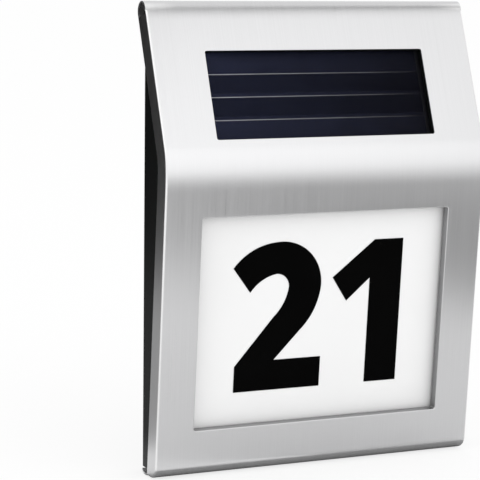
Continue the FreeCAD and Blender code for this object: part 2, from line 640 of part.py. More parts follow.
def make_solar_panel():
    """Build the laminate: clear sheet, cell strips, bus lines, board and the foam seal."""
    save("solar_cover_sheet", solar_opening(SOLAR_MARGIN, SOLAR_FACE, CELL_FACE))
    save("solar_board", solar_opening(SOLAR_MARGIN, SOLAR_BOARD_FACE, SOLAR_BACK))
    strips, lines = [], []
    first = SOLAR_MID - CELL_COUNT * CELL_PITCH / 2
    for index in range(CELL_COUNT):
        foot = first + index * CELL_PITCH
        strips.append(UPPER.block(CELL_LENGTH / 2, foot + CELL_GAP / 2,
                                  foot + CELL_PITCH - CELL_GAP / 2, CELL_FACE, SOLAR_BOARD_FACE))
        if index:
            lines.append(UPPER.block(CELL_LENGTH / 2, foot - CELL_GAP / 2, foot + CELL_GAP / 2,
                                     CELL_FACE + 0.05, SOLAR_BOARD_FACE))
    save("solar_cell_strips", *strips)
    save("solar_bus_lines", *lines)
    foam = solar_opening(SOLAR_MARGIN - 0.4, FRAME_BACK, SOLAR_FACE)
    save("solar_seal", foam.cut(solar_opening(0.8, FRAME_BACK - 1, SOLAR_FACE + 1)))


# ---- number panel and figures ---------------------------------------------------------------
def make_number_panel():
    """Cut the white panel that seats on the frame's ledge."""
    grow = SHEET + LIP_CLEARANCE + PANEL_OVERLAP
    return number_opening(grow, PANEL_DEPTH, PANEL_DEPTH + PANEL_THICK)


def figure(outline, x):
    """Cut one adhesive figure, outlined at 70 mm high, with its left foot at x."""
    unit = FIGURE_HEIGHT / 70.0
    points = [tuple(Vector(*q) * unit for q in p) if isinstance(p[0], tuple) else Vector(*p) * unit
              for p in outline]
    solid = Part.Face(Part.Wire(chain(*points, points[0]))).extrude(Vector(0, 0, FIGURE_THICK))
    solid.translate(Vector(x, -NUMBER_TOP - NUMBER_WINDOW[1] + FIGURE_FOOT, -PANEL_DEPTH))
    return LOWER.place(solid)


def make_figures():
    """Cut the two adhesive figures; a point in double brackets is an arc's middle and end."""
    two = [(0, 0), (44.6, 0), (44.6, 14.5), (20.1, 14.5), (32.9, 28.1),
           ((39.4, 36.6), (43.1, 49.7)), ((35.1, 66.6), (19.7, 71.1)), ((7.3, 67.8), (-2.5, 59.6)),
           (6.5, 47.7), ((13.5, 53.9), (19.7, 56.0)), ((24.3, 54.2), (26.4, 49.7)),
           ((24.6, 43.0), (19.1, 35.3)), (0, 12.4)]
    one = [(0, 0), (16.9, 0), (16.9, 70), (1.7, 70), (-19.8, 52.6), (-12.0, 40.9), (0, 51.6)]
    save("figure_two", figure(two, FIGURE_TWO_X))
    save("figure_one", figure(one, FIGURE_ONE_X))


# ---- light box ------------------------------------------------------------------------------
def tray_back(gap):
    """Give the top and foot points of the light box's back, moved towards the wall by a gap."""
    high = CORNER_Z - TRAY_TOP
    low = CORNER_Z - (NUMBER_TOP + NUMBER_WINDOW[1] + 3.2) * cos(LOW_ANGLE)
    back = -WALL - 1.0
    return Vector(0, back + gap, high), Vector(0, back - TRAY_SLOPE + gap, low)


def make_reflector_tray():
    """Mould the white light box: open towards the number panel, its back sloping forwards."""
    face = PANEL_DEPTH + PANEL_THICK + TRAY_GAP
    high, low = tray_back(0)
    half = NUMBER_WINDOW[0] / 2 + 3.6

    def side(wall, front):
        """Give the side outline, drawn in by a wall and with its front edge at a depth."""
        top, foot = high.z - wall, low.z + wall
        return chain(Vector(0, frame_back_y(top, front), top), Vector(0, high.y - wall, top),
                     Vector(0, low.y - wall, foot), Vector(0, frame_back_y(foot, front), foot),
                     Vector(0, frame_back_y(top, front), top))

    tray = prism(side(0, face), -half, half)
    tray = tray.cut(prism(side(TRAY_WALL, face - 1), -half + TRAY_WALL, half - TRAY_WALL))
    for side_x in (-1, 1):
        x = side_x * LED_SCREW_X
        tray = tray.fuse(box((x - 2.2, x + 2.2), (LED_Y - 2.2, LED_Y + 2.2),
                             (high.z - TRAY_WALL / 2, high.z + 3.0)))
        tray = tray.cut(rod(x, LED_Y, high.z - TRAY_WALL - 1, SMALL_SCREW_R + THREAD_PLAY, 4.6,
                            Vector(0, 0, 1)))
    for lane in (0, 1):
        tray = tray.cut(rod(LAMP_WIRE_X + lane * WIRE_PITCH, LED_Y, high.z - TRAY_WALL - 1,
                            WIRE_R + 0.4, 3, Vector(0, 0, 1)))
    return tray.removeSplitter()


LED_SCREW_X = LED_BOARD[0] / 2 - 3.0
LED_TOP = CORNER_Z - TRAY_TOP - TRAY_WALL - FIT
LED_Y = -17.0
LAMP_WIRE_X = LED_SCREW_X - 6.0


def make_led_board():
    """Build the lamp strip under the light box's top wall, with its chips facing down."""
    length, width, thick = LED_BOARD
    board = box((-length / 2, length / 2), (LED_Y - width / 2, LED_Y + width / 2),
                (LED_TOP - thick, LED_TOP))
    for side in (-1, 1):
        board = board.cut(rod(side * LED_SCREW_X, LED_Y, LED_TOP - thick - 1,
                              SMALL_SCREW_R + SCREW_PLAY, thick + 2, Vector(0, 0, 1)))
    save("led_board", board)
    chip_x, chip_y, chip_z = LED_SIZE
    chips = []
    for index in range(LED_COUNT):
        x = (index - (LED_COUNT - 1) / 2) * LED_PITCH
        chips.append(box((x - chip_x / 2, x + chip_x / 2), (LED_Y - chip_y / 2, LED_Y + chip_y / 2),
                         (LED_TOP - thick - chip_z, LED_TOP - thick)))
    save("led_chips", *chips)
    save("led_board_screws", *[screw(side * LED_SCREW_X, LED_Y, LED_TOP - thick, SMALL_SCREW_R,
                                     SMALL_HEAD_R, SMALL_HEAD, SMALL_LENGTH - 1, Vector(0, 0, 1))
                               for side in (-1, 1)])


# ---- battery --------------------------------------------------------------------------------
def make_battery():
    """Build the cell, its two contacts and the door with its seal and screws."""
    can = rod(-CELL_BODY / 2, CELL_Y, BATTERY_Z, CELL_R, CELL_BODY, Vector(1, 0, 0))
    nub = rod(CELL_BODY / 2 - 0.5, CELL_Y, BATTERY_Z, NUB_R, NUB_LENGTH + 0.5, Vector(1, 0, 0))
    save("battery_cell", can.fuse(nub).removeSplitter())

    def contact(side):
        """Make an end plate with the tag that goes out through the compartment's wall."""
        outer = POCKET[0] - FIT
        plate = box((outer - CONTACT_THICK, outer), (CELL_Y - CONTACT_HALF, CELL_Y + CONTACT_HALF),
                    (BATTERY_Z - CONTACT_HALF, BATTERY_Z + CONTACT_HALF))
        reach, width, thick = TAG_SIZE
        tag = box((outer - 0.1, POCKET[0] + BOX_WALL + reach),
                  (TAG_Y - width / 2, TAG_Y + width / 2),
                  (BATTERY_Z - thick / 2, BATTERY_Z + thick / 2))
        plate = plate.fuse(tag)
        return plate if side > 0 else mirrored(plate)

    face_x = POCKET[0] - FIT - CONTACT_THICK
    bump = Part.makeCone(3.2, 1.8, face_x - CELL_BODY / 2 - NUB_LENGTH - FIT + 0.2,
                         Vector(face_x + 0.2, CELL_Y, BATTERY_Z), Vector(-1, 0, 0))
    save("battery_contact_plus", contact(1).fuse(bump).removeSplitter())
    save("battery_contact_minus", contact(-1).fuse(leaf(-face_x)).removeSplitter())

    door_half = (DOOR_HALF[0] - DOOR_GAP, DOOR_HALF[1] - DOOR_GAP)
    seat = DOOR_SEAT + DOOR_SEAL
    door = box((-door_half[0], door_half[0]), (seat, -DOOR_SINK),
               (BATTERY_Z - door_half[1], BATTERY_Z + door_half[1]))
    for side in (-1, 1):
        x = side * DOOR_SCREW_X
        door = door.cut(rod(x, seat - 1, BATTERY_Z, SMALL_SCREW_R + SCREW_PLAY, WALL + 2))
        door = door.cut(rod(x, -DOOR_SINK - DOOR_SCREW_SINK, BATTERY_Z, SMALL_HEAD_R + 0.2, 2))
    # grip grooves across the door, and two pads that keep the cell down
    for index in range(GRIP_COUNT):
        z = BATTERY_Z + (index - (GRIP_COUNT - 1) / 2) * GRIP_PITCH
        door = door.cut(box((-GRIP_HALF, GRIP_HALF), (-DOOR_SINK - 0.5, 1),
                            (z - GRIP_PITCH / 4, z + GRIP_PITCH / 4)))
    for side in (-1, 1):
        pad = box((side * 12.0 - 2.0, side * 12.0 + 2.0),
                  (seat - DOOR_SEAL - BATTERY_CLEARANCE + 0.2, seat + 0.3),
                  (BATTERY_Z - 3.0, BATTERY_Z + 3.0))
        door = door.fuse(pad)
    save("battery_door", door.removeSplitter())
    ring = box((-door_half[0], door_half[0]), (DOOR_SEAT, seat),
               (BATTERY_Z - door_half[1], BATTERY_Z + door_half[1]))
    ring = ring.cut(box((-POCKET[0] - 0.4, POCKET[0] + 0.4), (-DEPTH, 1),
                        (BATTERY_Z - POCKET[1] - 0.4, BATTERY_Z + POCKET[1] + 0.4)))
    for side in (-1, 1):
        ring = ring.cut(rod(side * DOOR_SCREW_X, DOOR_SEAT - 1, BATTERY_Z, SMALL_SCREW_R + 0.3, 4))
    save("battery_door_seal", ring)
    save("battery_door_screws",
         *[screw(side * DOOR_SCREW_X, -DOOR_SINK - DOOR_SCREW_SINK, BATTERY_Z, SMALL_SCREW_R,
                 SMALL_HEAD_R, DOOR_SCREW_SINK - 0.1, SMALL_LENGTH + 1) for side in (-1, 1)])


def leaf(root_x):
    """Bend the leaf that presses on the cell's flat end, from its root on the contact plate."""
    nose_x = -CELL_BODY / 2 - FIT
    back_x = nose_x - LEAF_THICK
    reach = 0.85 * CONTACT_HALF
    outline = [(root_x, reach + LEAF_THICK), (nose_x, 0.8), (nose_x, -0.8),
               (root_x + 1.4, -reach), (root_x + 1.0, -reach), (back_x, -0.6),
               (back_x, 0.6), (root_x, reach - LEAF_THICK)]
    points = [Vector(x, CELL_Y - LEAF_HALF, BATTERY_Z + z) for x, z in outline]
    return Part.Face(Part.Wire(chain(*points, points[0]))).extrude(Vector(0, 2 * LEAF_HALF, 0))


# ---- control board and switch ---------------------------------------------------------------
def make_control_board():
    """Build the charging board, what is soldered on it, its screws and the slide switch."""
    width, height, thick = BOARD_SIZE
    front = BOARD_Y - FIT - thick
    board = box((SWITCH_X - width / 2, SWITCH_X + width / 2), (front, front + thick),
                (SWITCH_Z - height / 2, SWITCH_Z + height / 2))
    for x, z in BOARD_SCREWS:
        board = board.cut(rod(x, front - 1, z, SMALL_SCREW_R + SCREW_PLAY, thick + 2))
    save("control_board", board)
    save("board_screws", *[screw(x, front, z, SMALL_SCREW_R, SMALL_HEAD_R, SMALL_HEAD,
                                 SMALL_LENGTH, Vector(0, 1, 0)) for x, z in BOARD_SCREWS])

    chip = box((SWITCH_X - 9.0, SWITCH_X - 4.0), (front - 1.6, front),
               (SWITCH_Z - 2.0, SWITCH_Z + 2.0))
    coil = box((SWITCH_X + 1.0, SWITCH_X + 8.0), (front - 3.2, front),
               (SWITCH_Z + 5.0, SWITCH_Z + 12.0))
    can = rod(SWITCH_X + 8.0, front - 5.6, SWITCH_Z - 6.0, 2.5, 5.6)
    resistors = [box((SWITCH_X - 9.0, SWITCH_X - 7.0), (front - 0.7, front), (z, z + 1.2))
                 for z in (SWITCH_Z + 5.0, SWITCH_Z + 8.0, SWITCH_Z - 7.0)]
    save("board_components", chip, coil, can, *resistors)

    body_x, body_z, body_y = SWITCH_BODY
    back = BOARD_Y - FIT + body_y
    body = box((SWITCH_X - body_x / 2, SWITCH_X + body_x / 2), (back - body_y, back),
               (SWITCH_Z - body_z / 2, SWITCH_Z + body_z / 2))
    knob_x, knob_z = SWITCH_KNOB
    pocket_x = knob_x / 2 + SWITCH_TRAVEL / 2 + KNOB_GAP
    body = body.cut(box((SWITCH_X - pocket_x, SWITCH_X + pocket_x), (back - 1.8, back + 1),
                        (SWITCH_Z - knob_z / 2 - KNOB_GAP, SWITCH_Z + knob_z / 2 + KNOB_GAP)))
    save("power_switch_body", body)
    at = SWITCH_X - SWITCH_TRAVEL / 2
    knob = box((at - knob_x / 2, at + knob_x / 2), (back - 1.5, -KNOB_SINK),
               (SWITCH_Z - knob_z / 2, SWITCH_Z + knob_z / 2))
    for shift in (-0.7, 0.0, 0.7):
        knob = knob.cut(box((at + shift - 0.15, at + shift + 0.15), (-KNOB_SINK - 0.3, 0),
                            (SWITCH_Z - knob_z, SWITCH_Z + knob_z)))
    save("power_switch_slider", knob)


# ---- wires ----------------------------------------------------------------------------------
def wire(points):
    """Run one insulated wire along straight runs joined by tangent arcs."""
    edges = []
    here = points[0]
    for before, corner, after in zip(points, points[1:], points[2:]):
        into, out = corner - before, after - corner
        half_turn = into.getAngle(out) / 2
        reach = 0.45 * min(into.Length, out.Length)
        radius = reach / tan(half_turn)
        start = corner - Vector(into).normalize() * reach
        end = corner + Vector(out).normalize() * reach
        inward = (Vector(out).normalize() - Vector(into).normalize()).normalize()
        middle = corner + inward * (radius / cos(half_turn) - radius)
        edges.append(Part.LineSegment(here, start).toShape())
        edges.append(Part.Arc(start, middle, end).toShape())
        here = end
    edges.append(Part.LineSegment(here, points[-1]).toShape())
    path = Part.Wire(edges)
    ring = Part.Wire([Part.makeCircle(WIRE_R, points[0], points[1] - points[0])])
    return path.makePipeShell([ring], True, False)


def make_wires():
    """Run the solar, battery and lamp leads to the control board, each a pair."""
    face = BOARD_Y - FIT - BOARD_SIZE[2] - FIT
    left = SWITCH_X - BOARD_SIZE[0] / 2
    foot = SWITCH_Z - BOARD_SIZE[1] / 2
    solar, lamp = [], []
    for lane in (0, 1):
        x = SWITCH_X - 5.0 + lane * WIRE_PITCH
        pad = UPPER.point(SOLAR_FOOT + 6.0, SOLAR_BACK + FIT) + Vector(x, 0, 0)
        bend = pad - UPPER.out * 7.0
        solar.append(wire([pad, bend, Vector(x, face, bend.z - 1.0)]))
        x = LAMP_WIRE_X + lane * WIRE_PITCH
        lamp.append(wire([Vector(x, face, foot + 2.6), Vector(x, LED_Y, foot + 2.0),
                          Vector(x, LED_Y, LED_TOP + FIT)]))
    # the battery leads reach the board at a slant, and end in their solder, short of its face
    solder = face - WIRE_R
    wall_x = POCKET[0] + BOX_WALL
    tag_end = wall_x + TAG_SIZE[0]
    plus = wire([Vector(tag_end + FIT, TAG_Y, BATTERY_Z), Vector(left + 3.4, TAG_Y, BATTERY_Z),
                 Vector(left + 4.4, solder, BATTERY_Z)])
    # the minus lead leaves the underside of its tag and runs below the battery box
    under = BATTERY_Z - POCKET[1] - BOX_WALL
    minus = wire([Vector(-tag_end + WIRE_R, TAG_Y, BATTERY_Z - TAG_SIZE[2] / 2 - FIT),
                  Vector(-tag_end, TAG_Y, under - 1.3), Vector(-wall_x + 3.0, TAG_Y, under - 4.2),
                  Vector(left, TAG_Y, under - 3.6), Vector(left + 3.4, solder, under)])
    save("solar_wires", *solar)
    save("battery_wires", plus, minus)
    save("lamp_wires", *lamp)


save("front_cover", make_front_cover())
save("inner_frame", make_inner_frame())
save("rear_housing", make_rear_housing())
save("housing_seal", make_housing_seal())
save("housing_screws", *[screw(x, column_seat(z), z, SCREW_R, SCREW_HEAD_R, SCREW_HEAD, SCREW_LENGTH)
                         for x, z in COLUMNS])
make_solar_panel()
save("number_panel", make_number_panel())
make_figures()
save("reflector_tray", make_reflector_tray())
make_led_board()
make_battery()
make_control_board()
make_wires()
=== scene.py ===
"""Looks of a solar house number sign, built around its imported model.

The frame is in metres: X to the viewer's right, Y back into the wall, Z up. The wall is the plane
Y = 0. Sizes in the classes below are in millimetres, and MM turns them to metres.
"""

import json
import logging
from collections.abc import Sequence
from dataclasses import dataclass, field
from enum import Enum
from math import atan2, cos, pi, radians, sin, tan

import bmesh
import bpy
from mathutils import Matrix, Vector


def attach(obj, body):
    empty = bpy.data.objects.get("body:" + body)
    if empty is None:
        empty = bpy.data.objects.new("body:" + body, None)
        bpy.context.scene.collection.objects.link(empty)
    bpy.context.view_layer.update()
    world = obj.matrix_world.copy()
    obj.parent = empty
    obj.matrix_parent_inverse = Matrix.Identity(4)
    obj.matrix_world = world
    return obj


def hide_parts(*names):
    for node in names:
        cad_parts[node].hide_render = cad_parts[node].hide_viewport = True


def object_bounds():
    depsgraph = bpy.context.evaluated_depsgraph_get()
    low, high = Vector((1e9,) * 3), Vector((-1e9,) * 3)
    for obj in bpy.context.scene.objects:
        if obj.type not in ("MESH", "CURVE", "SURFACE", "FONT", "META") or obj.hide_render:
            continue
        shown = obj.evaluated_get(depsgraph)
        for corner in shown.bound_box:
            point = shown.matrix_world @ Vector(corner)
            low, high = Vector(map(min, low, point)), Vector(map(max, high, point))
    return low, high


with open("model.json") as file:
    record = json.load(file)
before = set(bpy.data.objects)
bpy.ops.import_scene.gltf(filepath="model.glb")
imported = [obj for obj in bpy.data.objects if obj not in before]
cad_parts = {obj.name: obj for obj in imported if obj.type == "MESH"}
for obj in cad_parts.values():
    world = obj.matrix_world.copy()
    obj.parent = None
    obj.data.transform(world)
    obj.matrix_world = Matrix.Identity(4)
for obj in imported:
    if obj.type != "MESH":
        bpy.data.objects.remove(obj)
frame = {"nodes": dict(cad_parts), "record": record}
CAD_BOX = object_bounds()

logging.basicConfig(level=logging.INFO, format="%(message)s")
LOG = logging.getLogger("sign")

MM = 0.001
IMAGE_SIZE = 480               # the photograph's side in pixels
GRAIN_MAP = "grain"            # the cover's map for its brushing
EDGE_SHADE_MARK = "drawn_edge_painted_shade"      # the cover's attributes: painted shade on its window's drawn edge
FOLD_HIGHLIGHT_MARK = "fold_painted_highlight"   # and a painted highlight on its side folds
TOUCH = 1e-3                   # millimetres within which two places count as one
FLAT_TURN = radians(0.2)       # triangles that turn by less than this are one flat face
BLEND = (0.3, 0.7)             # a noise's values where its darker and its lighter colour are full


class Body(str, Enum):
    """The bodies that a piece can ride on."""

    SIGN = "sign"
    SWITCH = "power_switch"
    DOOR = "battery_door"


# ---- colours and nodes ----------------------------------------------------------------------
def linear(colour: str) -> tuple[float, float, float, float]:
    """Turn an sRGB hex colour to linear values.

    Args:
        colour: The colour as "#RRGGBB".

    Returns:
        Linear red, green and blue, and an alpha of 1.
    """
    levels = [int(colour[i:i + 2], 16) / 255 for i in (1, 3, 5)]
    red, green, blue = (c / 12.92 if c <= 0.04045 else ((c + 0.055) / 1.055) ** 2.4
                        for c in levels)
    return red, green, blue, 1.0


def add_node(tree: bpy.types.NodeTree, kind: str, settings: dict | None = None,
             links: dict | None = None) -> bpy.types.Node:
    """Add one shader node.

    Args:
        tree: The node tree that gets the node.
        kind: The node's type, such as "ShaderNodeTexNoise".
        settings: Properties, in lower case, and socket values, by socket name or number.
        links: Output sockets of other nodes, by this node's socket name or number.

    Returns:
        The new node.
    """
    node = tree.nodes.new(kind)
    for key, value in (settings or {}).items():
        if isinstance(key, str) and key[0].islower():
            setattr(node, key, value)
        else:
            node.inputs[key].default_value = value
    for key, socket in (links or {}).items():
        tree.links.new(socket, node.inputs[key])
    return node


def add_ramp(tree: bpy.types.NodeTree, source: bpy.types.NodeSocket,
             stops: Sequence[tuple[float, str]]) -> bpy.types.NodeSocket:
    """Turn a value to a colour through stops.

    Args:
        tree: The node tree that gets the ramp.
        source: The value that runs from 0 to 1.
        stops: Positions and sRGB hex colours, lowest first.

    Returns:
        The ramp's colour socket.
    """
    ramp = add_node(tree, "ShaderNodeValToRGB", links={"Fac": source})
    elements = ramp.color_ramp.elements
    while len(elements) < len(stops):
        elements.new(0.5)
    for element, (position, colour) in zip(elements, stops):
        element.position = position
        element.color = linear(colour)
    return ramp.outputs["Color"]


def add_range(tree: bpy.types.NodeTree, source: bpy.types.NodeSocket, low: float,
              high: float) -> bpy.types.NodeSocket:
    """Stretch the middle half of a noise value over a range.

    Args:
        tree: The node tree that gets the node.
        source: A noise value, mostly between 0.25 and 0.75.
        low: What 0.25 becomes.
        high: What 0.75 becomes.

    Returns:
        The stretched value's socket.
    """
    node = add_node(tree, "ShaderNodeMapRange",
                    {"From Min": 0.25, "From Max": 0.75, "To Min": low, "To Max": high},
                    {"Value": source})
    return node.outputs["Result"]


# ---- finishes -------------------------------------------------------------------------------
@dataclass(frozen=True)
class Finish:
    """What every finish has: a name, a colour and a gloss."""

    name: str
    colour: str
    roughness: float = 0.5

    def start(self) -> tuple[bpy.types.NodeTree, bpy.types.Node, bpy.types.NodeSocket]:
        """Begin the material.

        Returns:
            Its node tree, its surface shader and the object coordinates.
        """
        material = bpy.data.materials.new(self.name)
        material.use_nodes = True
        material.diffuse_color = linear(self.colour)
        tree = material.node_tree
        shader = tree.nodes["Principled BSDF"]
        shader.inputs["Base Color"].default_value = linear(self.colour)
        shader.inputs["Roughness"].default_value = self.roughness
        place = add_node(tree, "ShaderNodeTexCoord").outputs["Object"]
        return tree, shader, place

    def make(self) -> bpy.types.Material:
        """Build the material; each finish adds its own nodes."""
        raise NotImplementedError

    def noise(self, tree: bpy.types.NodeTree, place: bpy.types.NodeSocket, size: float,
              detail: float = 2.0) -> bpy.types.NodeSocket:
        """Add a noise whose blotches have a real size.

        Args:
            tree: The material's node tree.
            place: The coordinates, in metres.
            size: The blotches' size in millimetres.
            detail: How many finer layers it has.

        Returns:
            The noise value's socket.
        """
        node = add_node(tree, "ShaderNodeTexNoise",
                        {"Scale": 1 / (size * MM), "Detail": detail}, {"Vector": place})
        return node.outputs["Fac"]

    def tint(self, tree: bpy.types.NodeTree, shader: bpy.types.Node,
             value: bpy.types.NodeSocket, dark: str, light: str) -> None:
        """Let the base colour wander between two colours.

        Args:
            tree: The material's node tree.
            shader: The surface shader.
            value: A noise value.
            dark: The colour at the noise's low side.
            light: The colour at its high side.
        """
        colour = add_ramp(tree, value, tuple(zip(BLEND, (dark, light))))
        tree.links.new(colour, shader.inputs["Base Color"])

    def bump(self, tree: bpy.types.NodeTree, shader: bpy.types.Node,
             value: bpy.types.NodeSocket, height: float) -> None:
        """Raise the surface by a pattern.

        Args:
            tree: The material's node tree.
            shader: The surface shader.
            value: The pattern's value.
            height: Its height in millimetres.
        """
        node = add_node(tree, "ShaderNodeBump", {"Strength": 1.0, "Distance": height * MM},
                        {"Height": value})
        tree.links.new(node.outputs["Normal"], shader.inputs["Normal"])


@dataclass(frozen=True)
class BrushedSteel(Finish):
    """Stainless sheet, belt-brushed from foot to top: long fine lines and soft highlights."""

    light: str = "#D5D5D6"
    grain: float = 0.30        # width of a brush line, drawn coarser than the real 0.1 mm
    stretch: float = 220.0     # a line is this many times longer than wide
    band: float = 7.0          # broad bands are this many times wider than a line
    gloss_drift: float = 0.04
    band_drift: float = 0.02
    depth: float = 0.0006
    spread: float = 0.7        # how much further a highlight spreads across the brushing
    drawn: str = "#868687"     # fitted: painted shade on the window's drawn edge, darkened as if in shade
    fold_highlight_colour: str = "#F6F6F6"  # fitted: painted highlight on the side folds

    def make(self) -> bpy.types.Material:
        """Build the brushed lines on the piece's own map, which runs along the sheet."""
        tree, shader, _ = self.start()
        shader.inputs["Metallic"].default_value = 1.0
        shader.inputs["Anisotropic"].default_value = self.spread
        across = add_node(tree, "ShaderNodeTangent",
                          {"direction_type": "UV_MAP", "uv_map": GRAIN_MAP})
        tree.links.new(across.outputs["Tangent"], shader.inputs["Tangent"])
        sheet = add_node(tree, "ShaderNodeUVMap", {"uv_map": GRAIN_MAP}).outputs["UV"]
        lines = self.brushing(tree, sheet, self.grain)
        broad = self.brushing(tree, sheet, self.grain * self.band)
        face = add_ramp(tree, lines, tuple(zip(BLEND, (self.colour, self.light))))
        # painted shade on the window's drawn edge and a painted highlight on the side folds
        for mark, colour in ((EDGE_SHADE_MARK, self.drawn), (FOLD_HIGHLIGHT_MARK, self.fold_highlight_colour)):
            share = add_node(tree, "ShaderNodeAttribute", {"attribute_name": mark})
            face = add_node(tree, "ShaderNodeMix", {"data_type": "RGBA", 7: linear(colour)},
                            {0: share.outputs["Fac"], 6: face}).outputs[2]
        tree.links.new(face, shader.inputs["Base Color"])
        rough = add_node(tree, "ShaderNodeMath", {"operation": "ADD"},
                         {0: add_range(tree, broad, -self.band_drift, self.band_drift),
                          1: add_range(tree, lines, self.roughness - self.gloss_drift,
                                       self.roughness + self.gloss_drift)})
        tree.links.new(rough.outputs["Value"], shader.inputs["Roughness"])
        self.bump(tree, shader, lines, self.depth)
        return bpy.data.materials[self.name]

    def brushing(self, tree: bpy.types.NodeTree, sheet: bpy.types.NodeSocket,
                 width: float) -> bpy.types.NodeSocket:
        """Add noise drawn out along the brushing.

        Args:
            tree: The material's node tree.
            sheet: The map: across the brushing in U and along it in V, in metres.
            width: The lines' width in millimetres.

        Returns:
            The noise value's socket.
        """
        scale = 1 / (width * MM)
        drawn = add_node(tree, "ShaderNodeMapping", {"Scale": (scale, scale / self.stretch, 1.0)},
                         {"Vector": sheet})
        node = add_node(tree, "ShaderNodeTexNoise", {"Scale": 1.0, "Detail": 3.0},
                        {"Vector": drawn.outputs["Vector"]})
        return node.outputs["Fac"]


@dataclass(frozen=True)
class Moulding(Finish):
    """Moulded plastic or rubber: even colour, with the grain that the mould's surface leaves."""

    light: str = "#202123"
    grain: float = 0.8         # size of the mould's texture
    depth: float = 0.02
    gloss_drift: float = 0.06
    sheen: float = 0.5         # how much of a plain plastic's mirror it has
    drift: float = 40.0        # size of the slow changes in its colour

    def make(self) -> bpy.types.Material:
        """Build the mould grain, a slow drift in colour and a drift in gloss."""
        tree, shader, place = self.start()
        shader.inputs["Specular IOR Level"].default_value = self.sheen
        grain = self.noise(tree, place, self.grain, 3.0)
        drift = self.noise(tree, place, self.drift)
        self.tint(tree, shader, drift, self.colour, self.light)
        rough = add_range(tree, grain, self.roughness - self.gloss_drift,
                          self.roughness + self.gloss_drift)
        tree.links.new(rough, shader.inputs["Roughness"])
        self.bump(tree, shader, grain, self.depth)
        return bpy.data.materials[self.name]


@dataclass(frozen=True)
class PlainMetal(Finish):
    """Plated or pressed metal without a brushed direction, such as zinc or nickel on steel."""

    light: str = "#CFCFCF"
    grain: float = 1.2
    depth: float = 0.004
    gloss_drift: float = 0.06

    def make(self) -> bpy.types.Material:
        """Build the plating's soft cloud."""
        tree, shader, place = self.start()
        shader.inputs["Metallic"].default_value = 1.0
        cloud = self.noise(tree, place, self.grain, 4.0)
        self.tint(tree, shader, cloud, self.colour, self.light)
        rough = add_range(tree, cloud, self.roughness - self.gloss_drift,
                          self.roughness + self.gloss_drift)
        tree.links.new(rough, shader.inputs["Roughness"])
        self.bump(tree, shader, cloud, self.depth)
        return bpy.data.materials[self.name]


@dataclass(frozen=True)
class ClearSheet(Finish):
    """Clear resin over the cells: it darkens what lies under it a little and keeps a soft gloss."""

    cover: float = 0.15        # share of its own tone over what lies under it
    sheen: float = 0.04        # fitted: plain clear resin mirrors much more
    index: float = 1.49        # refractive index of cast resin
    clouded: str = "#0A0B12"
    cloud: float = 25.0
    gloss_drift: tuple[float, float] = (-0.02, 0.03)

    def make(self) -> bpy.types.Material:
        """Build the clear sheet, with the faint clouding of cast resin in its gloss."""
        tree, shader, place = self.start()
        shader.inputs["Alpha"].default_value = self.cover
        shader.inputs["IOR"].default_value = self.index
        shader.inputs["Specular IOR Level"].default_value = self.sheen
        cloud = self.noise(tree, place, self.cloud)
        self.tint(tree, shader, cloud, self.colour, self.clouded)
        rough = add_range(tree, cloud, *(self.roughness + drift for drift in self.gloss_drift))
        tree.links.new(rough, shader.inputs["Roughness"])
        return bpy.data.materials[self.name]


@dataclass(frozen=True)
class PaintedReflectionFilm(Finish):
    """A thin film on the solar board with a painted reflection, darker from the left to the right.

    The fade is fitted to the look. A real film is probably even, and the fade is its reflection.
    """

    light: str = "#262A42"
    half: float = 55.0         # the film's half length in millimetres
    ends: tuple[float, float] = (0.05, 0.95)   # shares of the length where the colours are full
    sheen: float = 0.1
    cloud: float = 18.0        # size of the clouds in its colour, and how far they shift it
    shift: float = 0.05
    haze: float = 30.0         # size of the changes in its gloss, and how large they are
    gloss_drift: float = 0.03

    def make(self) -> bpy.types.Material:
        """Build the painted reflection's fade along the film's length, with soft clouds in it."""
        tree, shader, place = self.start()
        shader.inputs["Specular IOR Level"].default_value = self.sheen
        along = add_node(tree, "ShaderNodeSeparateXYZ", links={"Vector": place}).outputs["X"]
        side = add_node(tree, "ShaderNodeMapRange",
                        {"From Min": self.half * MM, "From Max": -self.half * MM},
                        {"Value": along})
        cloud = add_range(tree, self.noise(tree, place, self.cloud), -self.shift, self.shift)
        mixed = add_node(tree, "ShaderNodeMath", {"operation": "ADD"},
                         {0: side.outputs["Result"], 1: cloud})
        colour = add_ramp(tree, mixed.outputs["Value"],
                          tuple(zip(self.ends, (self.colour, self.light))))
        tree.links.new(colour, shader.inputs["Base Color"])
        haze = self.noise(tree, place, self.haze)
        rough = add_range(tree, haze, self.roughness - self.gloss_drift,
                          self.roughness + self.gloss_drift)
        tree.links.new(rough, shader.inputs["Roughness"])
        return bpy.data.materials[self.name]


